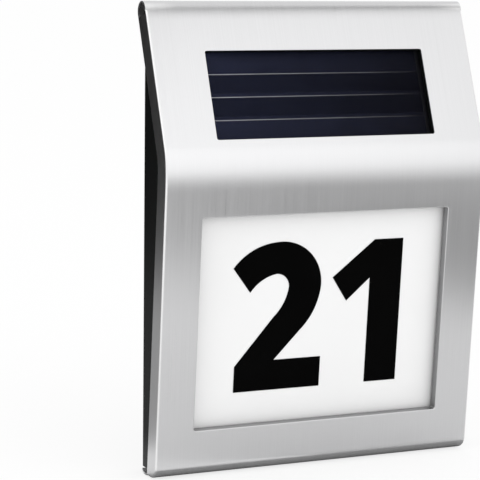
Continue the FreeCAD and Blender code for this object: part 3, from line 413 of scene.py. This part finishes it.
class Finishes:
    """The sign's finishes, each made once."""

    def __init__(self) -> None:
        """Make every finish that the pieces ask for by name."""
        wanted: list[Finish] = [
            BrushedSteel("brushed_stainless_sheet", "#D0D0D1", 0.32),
            Moulding("black_moulded_abs", "#090A0A", 0.46, "#0D0E0E", 0.7, 0.018, 0.05, 0.2),
            Moulding("black_silicone_rubber", "#121212", 0.72, "#181818", 1.5, 0.01),
            PlainMetal("zinc_plated_steel", "#AEB0B4", 0.34, "#C8CACD"),
            ClearSheet("clear_cast_resin", "#030408", 0.16),
            # painted reflection: the cells and the silver lines are lighter at the left, darker at
            # the right
            PaintedReflectionFilm("thin_film_silicon", "#030416", 0.42, "#24283F"),
            PaintedReflectionFilm("silver_paste_line", "#1C1C22", 0.5, "#C6C7CC"),
            Moulding("black_laminate_board", "#0C0D12", 0.40, "#101118", 1.0, 0.004),
            Moulding("opal_acrylic_panel", "#F0F0F0", 0.34, "#F2F2F2", 3.0, 0.002, 0.03),
            Moulding("black_vinyl_film", "#020202", 0.55, "#040404", 1.6, 0.003, 0.03, 0.02),
            Moulding("white_moulded_abs", "#ECECEA", 0.40, "#F0F0EE", 1.2, 0.01),
            Moulding("white_board_lacquer", "#E6E6E0", 0.34, "#ECECE6", 1.0, 0.004),
            Moulding("green_board_lacquer", "#1E5B34", 0.30, "#24663B", 1.4, 0.006),
            Moulding("lamp_phosphor_resin", "#E9D37A", 0.35, "#EFDC8E", 0.8, 0.004),
            PlainMetal("nickel_spring_steel", "#B8B4AA", 0.28, "#CBC7BE"),
            Moulding("shrink_sleeve_green", "#2C5A42", 0.28, "#33664B", 4.0, 0.004),
            Moulding("black_epoxy", "#1A1A1B", 0.50, "#202021", 0.6, 0.006),
            PlainMetal("tinned_switch_frame", "#B4B5B7", 0.38, "#C6C7C9"),
            Moulding("pvc_wire_insulation", "#8E1F1F", 0.42, "#9A2626", 1.2, 0.004),
        ]
        self.made = {finish.name: finish.make() for finish in wanted}

    def dress(self, piece: bpy.types.Object, name: str) -> None:
        """Give a piece one finish.

        Args:
            piece: The mesh object.
            name: The finish's name.
        """
        piece.data.materials.clear()
        piece.data.materials.append(self.made[name])


# ---- meshes ---------------------------------------------------------------------------------
def to_object(name: str, form: bmesh.types.BMesh, sharp: float = 30.0) -> bpy.types.Object:
    """Finish a form given in millimetres as an object in metres.

    Args:
        name: The object's name.
        form: The form, which is freed.
        sharp: Edges that turn by more than this many degrees stay sharp.

    Returns:
        The new object, at the origin.
    """
    bmesh.ops.scale(form, vec=(MM, MM, MM), verts=form.verts)
    mesh = bpy.data.meshes.new(name)
    form.to_mesh(mesh)
    form.free()
    piece = bpy.data.objects.new(name, mesh)
    bpy.context.scene.collection.objects.link(piece)
    smooth(piece, sharp)
    return piece


def smooth(piece: bpy.types.Object, sharp: float) -> None:
    """Shade a mesh smooth between its sharp edges, with its flats kept flat.

    Args:
        piece: The mesh object.
        sharp: Edges that turn by more than this many degrees stay sharp.
    """
    mesh = piece.data
    mesh.shade_smooth()
    mesh.set_sharp_from_angle(angle=radians(sharp))
    weighted = piece.modifiers.new("flats", "WEIGHTED_NORMAL")
    weighted.keep_sharp = True
    weighted.weight = 50
    shown = piece.evaluated_get(bpy.context.evaluated_depsgraph_get())
    piece.data = bpy.data.meshes.new_from_object(shown)
    piece.data.name = piece.name
    piece.modifiers.clear()


# ---- the sign's side outline ----------------------------------------------------------------
@dataclass(frozen=True)
class Stretch:
    """A flat stretch of the cover, seen from the side."""

    lean: float                # radians that its upper end leans back
    corner: Vector             # sharp bend corner

    @property
    def up(self) -> Vector:
        """Direction up along the stretch."""
        return Vector((0, sin(self.lean), cos(self.lean)))

    @property
    def out(self) -> Vector:
        """Direction out of its face."""
        return Vector((0, -cos(self.lean), sin(self.lean)))

    def point(self, height: float, depth: float, x: float = 0.0) -> Vector:
        """Give a point from its height above the corner and its depth under the face.

        Args:
            height: Along the stretch, in millimetres.
            depth: Square to the face, in millimetres.
            x: The point's X in millimetres.

        Returns:
            The point, in millimetres.
        """
        return self.corner + self.up * height - self.out * depth + Vector((x, 0, 0))


def eased_bend(start: Vector, corner: Vector, end: Vector,
               steps: int) -> list[tuple[Vector, Vector]]:
    """Bend from one flat to the next with no sudden start or stop.

    Args:
        start: Where the upper flat ends.
        corner: Where the two flats would meet.
        end: Where the lower flat begins.
        steps: How many pieces the bend has.

    Returns:
        Points from start to end, each with its outward direction.
    """
    line = []
    for step in range(steps + 1):
        share = step / steps
        above, below = start.lerp(corner, share), corner.lerp(end, share)
        along = (above - below).normalized()
        line.append((above.lerp(below, share), Vector((0, -along.z, along.y))))
    return line


@dataclass(frozen=True)
class Cover:
    """The bent steel cover: two windows, side flanges, a rolled top edge and a bottom return."""

    width: float = 160.0
    sheet: float = 0.8
    upper_lean: float = 21.4
    lower_lean: float = 4.5
    upper_length: float = 71.0
    lower_length: float = 137.85
    bend_radius: float = 25.0
    flange: float = 9.6
    roll_leg: float = 4.0
    foot_radius: float = 6.5
    return_length: float = 6.8
    lip_radius: float = 3.6
    lip_turn: float = 60.0     # degrees that the return's end curls up
    edge_radius: float = 1.0
    relief: float = 0.6
    wall_gap: float = 0.2
    corner_z: float = -36.0
    window: tuple[float, float] = (124.0, 97.4)
    window_top: float = 25.0
    window_lip: float = 4.2
    lip_edge: float = 0.45
    solar: tuple[float, float] = (109.4, 41.1)
    solar_foot: float = 10.0
    window_corner: float = 0.9
    margin: float = 3.0        # flat ring round a window that joins it to the sheet's grid
    bend_above: float = 6.8    # the main bend runs from here above the sharp corner
    bend_below: float = 13.5   # to here below it
    roll_ease: float = 5.6     # length over which the panel starts to turn before the roll
    ease_turn: float = 35.0    # degrees of the roll by which it has its own radius
    bend_steps: int = 14
    roll_steps: int = 16
    foot_steps: int = 10
    lip_steps: int = 6
    ease_steps: int = 6
    heel_share: float = 0.6    # how far down the flange's back edge the bottom bend's rows reach
    round_steps: int = 4
    tab_segments: int = 40
    side_skin: float = 0.05    # how deep under a side's inner face a point still counts as its own
    slack: float = 0.1         # how far past a drawn edge its painted shade may reach
    highlight_fade: float = 1.4     # how quickly the painted highlight on a side fold comes up

    @property
    def roll_radius(self) -> float:
        """Outer radius of the top roll."""
        return self.flange / 2

    @property
    def depth(self) -> float:
        """Distance from the wall to the sharp bend corner."""
        lean = radians(self.upper_lean)
        return (self.upper_length * sin(lean) + self.roll_radius * (1 + cos(lean))
                + self.wall_gap)

    @property
    def corner(self) -> Vector:
        """The sharp bend corner."""
        return Vector((0, -self.depth, self.corner_z))

    @property
    def upper(self) -> Stretch:
        """The upper panel."""
        return Stretch(radians(self.upper_lean), self.corner)

    @property
    def lower(self) -> Stretch:
        """The lower panel."""
        return Stretch(-radians(self.lower_lean), self.corner)

    @property
    def bend_half(self) -> float:
        """Half the angle of the main bend."""
        return radians(self.upper_lean + self.lower_lean) / 2

    @property
    def bend_reach(self) -> float:
        """Length that the main bend takes off each panel."""
        return self.bend_radius * tan(self.bend_half)

    @property
    def bend_centre(self) -> Vector:
        """Centre of the main bend."""
        return self.upper.point(self.bend_reach, self.bend_radius)

    @property
    def foot_centre(self) -> Vector:
        """Centre of the bottom bend."""
        return self.lower.point(-self.lower_length, self.foot_radius)

    @property
    def foot_z(self) -> float:
        """Height of the cover's lowest face."""
        return self.foot_centre.z - self.foot_radius

    def flange_foot(self) -> Vector:
        """Give the flange's back edge where it meets the bottom return."""
        back = self.lower.point(0, self.flange)
        return back - self.lower.up * ((back.z - self.foot_z) / self.lower.up.z)

    def path(self) -> tuple[list[Vector], list[Vector | None]]:
        """Follow the sheet's outer side from the roll's back leg to the return's lip.

        Returns:
            The points on the sheet, and for each the flange's back edge beside it, or None.
        """
        upper, lower = self.upper, self.lower
        skin = [upper.point(self.upper_length - self.roll_leg, self.flange)]
        centre = upper.point(self.upper_length, self.roll_radius)
        eased = radians(self.ease_turn)
        for step in range(self.roll_steps + 1):
            turn = pi - (pi - eased) * step / self.roll_steps
            skin.append(centre + (upper.up * sin(turn) + upper.out * cos(turn)) * self.roll_radius)
        back: list[Vector | None] = [None] * len(skin)

        meet = upper.point(self.upper_length + self.roll_radius * tan(eased / 2), 0)
        foot = upper.point(self.upper_length - self.roll_ease, 0)
        for point, _ in eased_bend(skin[-1], meet, foot, self.ease_steps)[1:]:
            height = (point - self.corner).dot(upper.up)
            flanged = height < self.upper_length - self.relief
            skin.append(point)
            back.append(upper.point(height, self.flange) if flanged else None)
        for height in (self.solar_foot + self.solar[1] + self.margin,
                       self.solar_foot - self.margin):
            skin.append(upper.point(height, 0))
            back.append(upper.point(height, self.flange))
        for point, outward in eased_bend(upper.point(self.bend_above, 0), self.corner,
                                         lower.point(-self.bend_below, 0), self.bend_steps):
            skin.append(point)
            back.append(point - outward * self.flange)
        for height in (self.window_top - self.margin,
                       self.window_top + self.window[1] + self.margin):
            skin.append(lower.point(-height, 0))
            back.append(lower.point(-height, self.flange))

        heel, toe = lower.point(-self.lower_length, self.flange), self.flange_foot()
        for step in range(self.foot_steps + 1):
            share = step / self.foot_steps
            turn = radians(self.lower_lean) * (1 - share) + pi / 2 * share
            ray = Vector((0, -cos(turn), -sin(turn)))
            skin.append(self.foot_centre + ray * self.foot_radius)
            back.append(heel.lerp(toe, share * self.heel_share))
        skin.append(toe)
        back.append(toe)

        end = self.foot_centre.y + self.return_length
        lip = Vector((0, end, self.foot_z + self.lip_radius))
        for step in range(self.lip_steps + 1):
            turn = radians(self.lip_turn) * step / self.lip_steps
            skin.append(lip + Vector((0, sin(turn), -cos(turn))) * self.lip_radius)
        back += [None] * (self.lip_steps + 1)
        return skin, back

    def add_sheet(self, form: bmesh.types.BMesh) -> None:
        """Add the sheet's outer side, folded at its flanges, still without its windows.

        Args:
            form: The form that gets the sheet.
        """
        skin, back = self.path()
        half = self.width / 2
        number_half, solar_half = (size[0] / 2 + self.margin for size in (self.window, self.solar))
        first = [form.verts.new(point - Vector((half, 0, 0))) for point in skin]
        edges = [form.edges.new(pair) for pair in zip(first, first[1:])]
        for x in (-number_half, -solar_half, solar_half, number_half, half):
            grown = bmesh.ops.extrude_edge_only(form, edges=edges)["geom"]
            edges = [item for item in grown if isinstance(item, bmesh.types.BMEdge)]
            for vert in (item for item in grown if isinstance(item, bmesh.types.BMVert)):
                vert.co.x = x

        flanged = [(point, behind) for point, behind in zip(skin, back) if behind is not None]
        folds = []
        for side in (-half, half):
            beside = [vert for vert in form.verts if abs(vert.co.x - side) < TOUCH]
            line = [min(beside, key=lambda vert: (vert.co.yz - point.yz).length)
                    for point, _ in flanged]
            fold = [form.edges.get(pair) for pair in zip(line, line[1:])]
            grown = bmesh.ops.extrude_edge_only(form, edges=fold)["geom"]
            for vert in (item for item in grown if isinstance(item, bmesh.types.BMVert)):
                _, behind = min(flanged, key=lambda pair: (pair[0].yz - vert.co.yz).length)
                vert.co.yz = behind.yz
            folds += fold
        bmesh.ops.remove_doubles(form, verts=form.verts, dist=1e-4)
        bmesh.ops.recalc_face_normals(form, faces=form.faces)
        front = max(form.faces, key=lambda face: face.calc_area())
        if front.normal.dot(self.lower.out) < 0:
            bmesh.ops.reverse_faces(form, faces=form.faces)
        bmesh.ops.bevel(form, geom=[edge for edge in folds if edge.is_valid],
                        offset=self.edge_radius, offset_type="OFFSET", segments=self.round_steps,
                        profile=0.5, affect="EDGES", material=-1)

    def open_window(self, form: bmesh.types.BMesh, stretch: Stretch, size: tuple[float, float],
                    foot: float, rings: Sequence[tuple[float, float]]) -> None:
        """Open one window, and turn its edge in along a few rings.

        Args:
            form: The sheet.
            stretch: The panel that the window is in.
            size: The window's width and height.
            foot: Its lower edge, as a height above the bend corner.
            rings: Growth of the outline, and its depth under the face, for each ring.
        """
        half = Vector(size) / 2
        middle = foot + half.y
        gone = []
        for face in form.faces:
            place = face.calc_center_median() - stretch.corner
            if (abs(place.x) < half.x + self.margin
                    and abs(place.dot(stretch.up) - middle) < half.y + self.margin
                    and abs(place.dot(stretch.out)) < self.margin / 2):
                gone.append(face)
        rim = [edge for edge in {e for face in gone for e in face.edges}
               if sum(face in gone for face in edge.link_faces) == 1]
        bmesh.ops.delete(form, geom=gone, context="FACES")

        core = half - Vector((self.window_corner, self.window_corner))
        verts = []
        for quarter, (across, along) in enumerate(((1, 1), (-1, 1), (-1, -1), (1, -1))):
            for step in range(self.round_steps + 1):
                turn = (quarter + step / self.round_steps) * pi / 2
                verts.append(form.verts.new(stretch.point(
                    middle + along * core.y + sin(turn), 0, across * core.x + cos(turn))))
        loop = [form.edges.new(pair) for pair in zip(verts, verts[1:] + verts[:1])]
        for step, (grow, depth) in enumerate(rings):
            if step > 0:
                grown = bmesh.ops.extrude_edge_only(form, edges=loop)["geom"]
                loop = [item for item in grown if isinstance(item, bmesh.types.BMEdge)]
                verts = [item for item in grown if isinstance(item, bmesh.types.BMVert)]
            for vert in verts:
                place = vert.co - stretch.corner
                flat = Vector((place.x, place.dot(stretch.up) - middle))
                nearest = Vector([max(-c, min(c, f)) for c, f in zip(core, flat)])
                spot = nearest + (flat - nearest).normalized() * (self.window_corner + grow)
                vert.co = stretch.point(middle + spot.y, depth, spot.x)
            if step == 0:
                bmesh.ops.triangle_fill(form, use_beauty=True, edges=rim + loop,
                                        normal=stretch.out)

    def map_grain(self, piece: bpy.types.Object) -> None:
        """Map the sheet for its brushing: U runs across the brushing and V along it, in metres.

        Args:
            piece: The finished cover.
        """
        mesh = piece.data
        layer = mesh.uv_layers.new(name=GRAIN_MAP)
        side = self.width / 2 - self.sheet - self.side_skin
        for loop in mesh.loops:
            place = mesh.vertices[loop.vertex_index].co / MM
            across = place.x
            if abs(place.x) > side and place.z < self.upper.point(self.upper_length, 0).z:
                across += (1 if place.x > 0 else -1) * self.depth_under_face(place)
            layer.data[loop.index].uv = (across * MM, (place.z - place.y) * MM)

    def mark_edges(self, piece: bpy.types.Object) -> None:
        """Mark how far each point lies in the number window's drawn edge or in a side fold: painted
        shade on the one, a painted highlight on the other.

        Args:
            piece: The finished cover.
        """
        mesh = piece.data
        drawn, folded = (mesh.attributes.new(name, "FLOAT", "POINT").data
                         for name in (EDGE_SHADE_MARK, FOLD_HIGHLIGHT_MARK))
        reach = self.sheet + self.slack
        half = self.window[0] / 2 + reach
        for index, vert in enumerate(mesh.vertices):
            place = vert.co / MM
            height = (place - self.corner).dot(self.lower.up) + self.window_top
            # painted shade: inside the window's outline, the drawn edge gets darker the deeper it
            # lies
            if abs(place.x) < half and -self.window[1] - reach < height < reach:
                depth = -(Vector((0, *place.yz)) - self.corner).dot(self.lower.out)
                drawn[index].value = max(0.0, min((depth - self.slack) / self.lip_edge, 1.0))
            # painted highlight: points near a side fold get lighter
            from_side = self.width / 2 - abs(place.x)
            inside = max(from_side, self.depth_under_face(place)) / self.edge_radius
            folded[index].value = max(0.0, min((1 - inside) * self.highlight_fade, 1.0))

    def depth_under_face(self, place: Vector) -> float:
        """Give a point's depth under the nearest part of the outer face.

        Args:
            place: The point, in millimetres.

        Returns:
            The depth in millimetres.
        """
        flat = Vector((0, place.y, place.z))
        ray = flat - self.bend_centre
        turn = atan2(ray.z, -ray.y)
        if turn > self.upper.lean:
            return -(flat - self.corner).dot(self.upper.out)
        if turn < self.lower.lean:
            return -(flat - self.corner).dot(self.lower.out)
        return self.bend_radius - ray.length

    def build(self) -> bpy.types.Object:
        """Build the whole cover as one closed sheet with a round tab in each end of its roll.

        Returns:
            The cover.
        """
        whole = bmesh.new()
        self.add_sheet(whole)
        turned = [(self.lip_edge * (1 - sin(turn)), self.lip_edge * (1 - cos(turn)))
                  for turn in (pi / 2 * step / self.round_steps
                               for step in range(self.round_steps + 1))]
        self.open_window(whole, self.lower, self.window, -self.window_top - self.window[1],
                         turned + [(0.0, self.window_lip)])
        self.open_window(whole, self.upper, self.solar, self.solar_foot, [(0.0, 0.0)])
        bmesh.ops.solidify(whole, geom=whole.faces[:], thickness=self.sheet)
        self.add_tabs(whole)
        piece = to_object("brushed_cover", whole, 24.0)
        self.map_grain(piece)
        self.mark_edges(piece)
        return piece

    def add_tabs(self, form: bmesh.types.BMesh) -> None:
        """Add the round tab that stands up from each flange inside the roll.

        Args:
            form: The form that gets both tabs.
        """
        radius = self.roll_radius - self.sheet - self.relief
        centre = self.upper.point(self.upper_length, self.roll_radius)
        for side in (-1, 1):
            middle = centre + Vector((side * (self.width - self.sheet) / 2, 0, 0))
            turned = Matrix.Translation(middle) @ Matrix.Rotation(pi / 2, 4, "Y")
            tab = bmesh.new()
            bmesh.ops.create_cone(tab, cap_ends=True, segments=self.tab_segments, radius1=radius,
                                  radius2=radius, depth=self.sheet, matrix=turned)
            cut = bmesh.ops.bisect_plane(
                tab, geom=tab.verts[:] + tab.edges[:] + tab.faces[:], clear_inner=True,
                plane_co=self.upper.point(self.upper_length - self.relief, 0),
                plane_no=self.upper.up)
            open_edges = [e for e in cut["geom_cut"] if isinstance(e, bmesh.types.BMEdge)]
            bmesh.ops.holes_fill(tab, edges=open_edges)
            bmesh.ops.recalc_face_normals(tab, faces=tab.faces)
            mesh = bpy.data.meshes.new("tab")
            tab.to_mesh(mesh)
            tab.free()
            form.from_mesh(mesh)
            bpy.data.meshes.remove(mesh)


# ---- carried-over pieces --------------------------------------------------------------------
def softened(node: str, sharp: float = 30.0) -> bpy.types.Object:
    """Copy a CAD piece with its loose triangles merged, so that its rounds shade smoothly.

    Args:
        node: The CAD node.
        sharp: Edges that turn by more than this many degrees stay sharp.

    Returns:
        The new piece, in the node's place.
    """
    form = bmesh.new()
    form.from_mesh(frame["nodes"][node].data)
    bmesh.ops.remove_doubles(form, verts=form.verts, dist=TOUCH * MM)
    bmesh.ops.dissolve_limit(form, angle_limit=FLAT_TURN, verts=form.verts, edges=form.edges)
    bmesh.ops.scale(form, vec=(1 / MM, 1 / MM, 1 / MM), verts=form.verts)
    return to_object(node + "_finished", form, sharp)


@dataclass(frozen=True)
class CarriedPieces:
    """CAD pieces that keep their own shape and get a finish."""

    finishes: Finishes
    bare: dict[str, str] = field(default_factory=lambda: {
        "housing_seal": "black_silicone_rubber",
        "solar_cover_sheet": "clear_cast_resin",
        "solar_board": "black_laminate_board",
        "solar_cell_strips": "thin_film_silicon",
        "solar_bus_lines": "silver_paste_line",
        "solar_seal": "black_silicone_rubber",
        "number_panel": "opal_acrylic_panel",
        "led_board": "white_board_lacquer",
        "led_chips": "lamp_phosphor_resin",
        "led_board_screws": "zinc_plated_steel",
        "battery_cell": "shrink_sleeve_green",
        "battery_contact_plus": "nickel_spring_steel",
        "battery_contact_minus": "nickel_spring_steel",
        "battery_door_seal": "black_silicone_rubber",
        "control_board": "green_board_lacquer",
        "board_screws": "zinc_plated_steel",
        "board_components": "black_epoxy",
        "power_switch_body": "tinned_switch_frame",
        "solar_wires": "pvc_wire_insulation",
        "battery_wires": "pvc_wire_insulation",
        "lamp_wires": "pvc_wire_insulation",
    })
    soft: dict[str, str] = field(default_factory=lambda: {
        "inner_frame": "black_moulded_abs",
        "rear_housing": "black_moulded_abs",
        "reflector_tray": "white_moulded_abs",
        "battery_door": "black_moulded_abs",
        "power_switch_slider": "black_moulded_abs",
        "figure_two": "black_vinyl_film",
        "figure_one": "black_vinyl_film",
        "housing_screws": "zinc_plated_steel",
        "battery_door_screws": "zinc_plated_steel",
    })

    def build(self) -> list[bpy.types.Object]:
        """Dress the CAD nodes, and copy those whose rounds need smooth shading.

        Returns:
            The dressed nodes and copies.
        """
        pieces = [frame["nodes"][node] for node in self.bare]
        for piece, finish in zip(pieces, self.bare.values()):
            self.finishes.dress(piece, finish)
        for node, finish in self.soft.items():
            piece = softened(node)
            self.finishes.dress(piece, finish)
            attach(piece, self.body_of(node).value)
            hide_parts(node)
            pieces.append(piece)
        return pieces

    def body_of(self, node: str) -> Body:
        """Find the body that a node belongs to.

        Args:
            node: The CAD node.

        Returns:
            Its body.
        """
        bodies = frame["record"]["behaviour"]["bodies"]
        return Body(next(name for name, members in bodies.items() if node in members))


# ---- studio ---------------------------------------------------------------------------------
FLOOR_GAP = 0.0005             # metres between the sign's foot and the floor
FLOOR_HEIGHT = CAD_BOX[0][2] - FLOOR_GAP


def seen_share(tree: bpy.types.NodeTree, share: float) -> bpy.types.NodeSocket:
    """Give a surface's share of plain white where it is seen, and 0 for the light it sends on.

    Args:
        tree: The node tree that gets the nodes.
        share: What the camera, metal, gloss and clear pieces see of it.

    Returns:
        The share's socket.
    """
    rays = add_node(tree, "ShaderNodeLightPath").outputs
    seen = rays["Is Camera Ray"]
    for ray in ("Is Glossy Ray", "Is Transmission Ray"):
        seen = add_node(tree, "ShaderNodeMath", {"operation": "MAXIMUM"},
                        {0: seen, 1: rays[ray]}).outputs["Value"]
    return add_node(tree, "ShaderNodeMath", {"operation": "MULTIPLY", 1: share},
                    {0: seen}).outputs["Value"]


def matte(name: str, colour: str, roughness: float) -> bpy.types.Material:
    """Make the dull material of the studio's floor and cards.

    Args:
        name: The material's name.
        colour: Its sRGB hex colour.
        roughness: Its roughness.

    Returns:
        The material.
    """
    material = bpy.data.materials.new(name)
    material.use_nodes = True
    shader = material.node_tree.nodes["Principled BSDF"]
    shader.inputs["Base Color"].default_value = linear(colour)
    shader.inputs["Roughness"].default_value = roughness
    shader.inputs["Specular IOR Level"].default_value = 0.0
    return material


def stage_piece(name: str, form: bmesh.types.BMesh, material: bpy.types.Material
                ) -> bpy.types.Object:
    """Finish a form given in metres as a piece of the studio.

    Args:
        name: The object's name.
        form: The form, which is freed.
        material: Its material.

    Returns:
        The new object.
    """
    mesh = bpy.data.meshes.new(name)
    form.to_mesh(mesh)
    form.free()
    mesh.materials.append(material)
    thing = bpy.data.objects.new(name, mesh)
    bpy.context.scene.collection.objects.link(thing)
    return thing


@dataclass(frozen=True)
class Card:
    """A card that only gloss and clear pieces show: it shapes what the steel mirrors.

    It has no shadow, and the camera doesn't see it.
    """

    name: str
    shade: str
    turn: float                # degrees to the right of straight ahead of the sign
    width: float               # metres, as all sizes here
    near: tuple[float, float]  # distance from the sign and height over the floor, near edge
    far: tuple[float, float]   # the same for its far edge
    roughness: float = 0.95

    def stand(self) -> None:
        """Put the card in its place."""
        turn = radians(self.turn)
        ahead, side = Vector((sin(turn), -cos(turn), 0)), Vector((cos(turn), sin(turn), 0))
        rows = [ahead * distance + Vector((0, 0, FLOOR_HEIGHT + height))
                for distance, height in (self.near, self.far)]
        form = bmesh.new()
        corners = [form.verts.new(row + side * (self.width / 2 * way))
                   for row, way in zip((rows[0], rows[0], rows[1], rows[1]), (-1, 1, 1, -1))]
        form.faces.new(corners)
        paper = matte(self.name + "_paper", self.shade, self.roughness)
        card = stage_piece(self.name, form, paper)
        card.visible_camera = card.visible_diffuse = card.visible_shadow = False


@dataclass(frozen=True)
class Lamp:
    """A large soft lamp that stands on the floor and faces the sign."""

    name: str
    turn: float                # degrees to the right of straight ahead of the sign
    distance: float
    size: tuple[float, float]
    glow: float                # how bright its face looks, where 1 is white

    def stand(self) -> None:
        """Put the lamp in its place."""
        lamp = bpy.data.lights.new(self.name, "AREA")
        lamp.shape = "RECTANGLE"
        lamp.size, lamp.size_y = self.size
        lamp.energy = self.glow * pi * self.size[0] * self.size[1]
        holder = bpy.data.objects.new(self.name, lamp)
        turn = radians(self.turn)
        ray = Vector((sin(turn), -cos(turn), 0))
        place = ray * self.distance
        place.z = FLOOR_HEIGHT + self.size[1] / 2
        holder.matrix_world = (Matrix.Translation(place)
                               @ (-ray).to_track_quat("-Z", "Y").to_matrix().to_4x4())
        bpy.context.scene.collection.objects.link(holder)


LAMPS = (
    Lamp("front_lamp", 14.0, 1.25, (1.15, 1.75), 0.60),
    Lamp("side_lamp", -72.0, 1.1, (0.6, 0.9), 0.6),
)
CARDS = (
    Card("front_card", "#949494", 36.0, 0.6, (0.30, 0.002), (0.50, 0.043)),
    # painted shade: a grey strip standing in for the floor's contact shadow at the foot, as the
    # steel mirrors it
    Card("foot_card", "#B0B0B0", 0.0, 0.17, (0.012, 0.0002), (0.0276, 0.0003)),
    Card("low_card", "#F0F0F0", 12.0, 0.36, (0.0285, 0.0002), (0.19, 0.0003)),
    Card("low_side_card", "#A8A8A8", -152.0, 0.6, (0.08, 0.0), (0.31, 0.042)),
    Card("side_card", "#050505", -152.0, 0.6, (0.31, 0.042), (0.40, 0.5)),
    Card("high_card", "#303030", 33.0, 1.3, (1.05, 1.18), (1.05, 1.45)),
)


@dataclass(frozen=True)
class Studio:
    """The pale floor and room, the lamps, the cards and the camera."""

    camera_place: Vector = Vector((-407.6, -830.26, 54.24))
    yaw: float = 24.529
    pitch: float = -8.148
    roll: float = 0.719
    focal_px: float = 2000.0
    sensor: float = 36.0
    floor_size: float = 40.0   # metres
    view_end: float = 50.0     # metres
    floor_colour: str = "#F0F0F0"
    floor_roughness: float = 0.9
    floor_white: float = 0.75  # share of plain white in the floor where it is seen
    floor_glow: float = 1.03   # strength of that white

    def build(self) -> None:
        """Set up everything that isn't the sign."""
        self.add_camera()
        self.add_floor()
        self.add_world()
        for equipment in (*LAMPS, *CARDS):
            equipment.stand()
        bpy.context.scene.view_settings.view_transform = "Standard"

    def add_camera(self) -> None:
        """Stand the camera where the photograph's edges put it."""
        yaw, pitch, roll = (radians(a) for a in (self.yaw, self.pitch, self.roll))
        ahead = Vector((sin(yaw), cos(yaw), 0))
        side = Vector((cos(yaw), -sin(yaw), 0))
        top = Vector((0, 0, 1))
        forward = ahead * cos(pitch) + top * sin(pitch)
        upward = top * cos(pitch) - ahead * sin(pitch)
        right = side * cos(roll) + upward * sin(roll)
        up = upward * cos(roll) - side * sin(roll)
        camera = bpy.data.cameras.new("camera")
        camera.sensor_width = self.sensor
        camera.lens = self.focal_px * self.sensor / IMAGE_SIZE
        camera.clip_end = self.view_end
        holder = bpy.data.objects.new("camera", camera)
        turn = Matrix((right, up, -forward)).transposed().to_4x4()
        holder.matrix_world = Matrix.Translation(self.camera_place * MM) @ turn
        bpy.context.scene.collection.objects.link(holder)
        bpy.context.scene.camera = holder

    def add_floor(self) -> None:
        """Lay the pale floor under the sign; it stays white behind it and keeps its shadow."""
        form = bmesh.new()
        bmesh.ops.create_grid(form, x_segments=8, y_segments=8, size=self.floor_size / 2)
        bmesh.ops.translate(form, vec=(0, 0, FLOOR_HEIGHT), verts=form.verts)
        material = matte("pale_studio_floor", self.floor_colour, self.floor_roughness)
        tree = material.node_tree
        shader = tree.nodes["Principled BSDF"]
        glow = add_node(tree, "ShaderNodeEmission",
                        {"Color": (1, 1, 1, 1), "Strength": self.floor_glow})
        mixed = add_node(tree, "ShaderNodeMixShader", links={
            0: seen_share(tree, self.floor_white), 1: shader.outputs["BSDF"],
            2: glow.outputs["Emission"]})
        tree.links.new(mixed.outputs["Shader"], tree.nodes["Material Output"].inputs["Surface"])
        stage_piece("floor", form, material)

    def add_world(self) -> None:
        """Surround the sign with an even white room."""
        world = bpy.data.worlds.new("room")
        bpy.context.scene.world = world
        world.use_nodes = True
        back = world.node_tree.nodes["Background"]
        back.inputs["Color"].default_value = (1, 1, 1, 1)
        back.inputs["Strength"].default_value = 1.0


def main() -> None:
    """Build the sign's looks and the studio round it."""
    finishes = Finishes()
    cover = Cover().build()
    finishes.dress(cover, "brushed_stainless_sheet")
    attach(cover, Body.SIGN.value)
    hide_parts("front_cover")
    for piece in (cover, *CarriedPieces(finishes).build()):
        LOG.info("piece %s: %d faces", piece.name, len(piece.data.polygons))
    Studio().build()


if __name__ == "__main__":
    main()
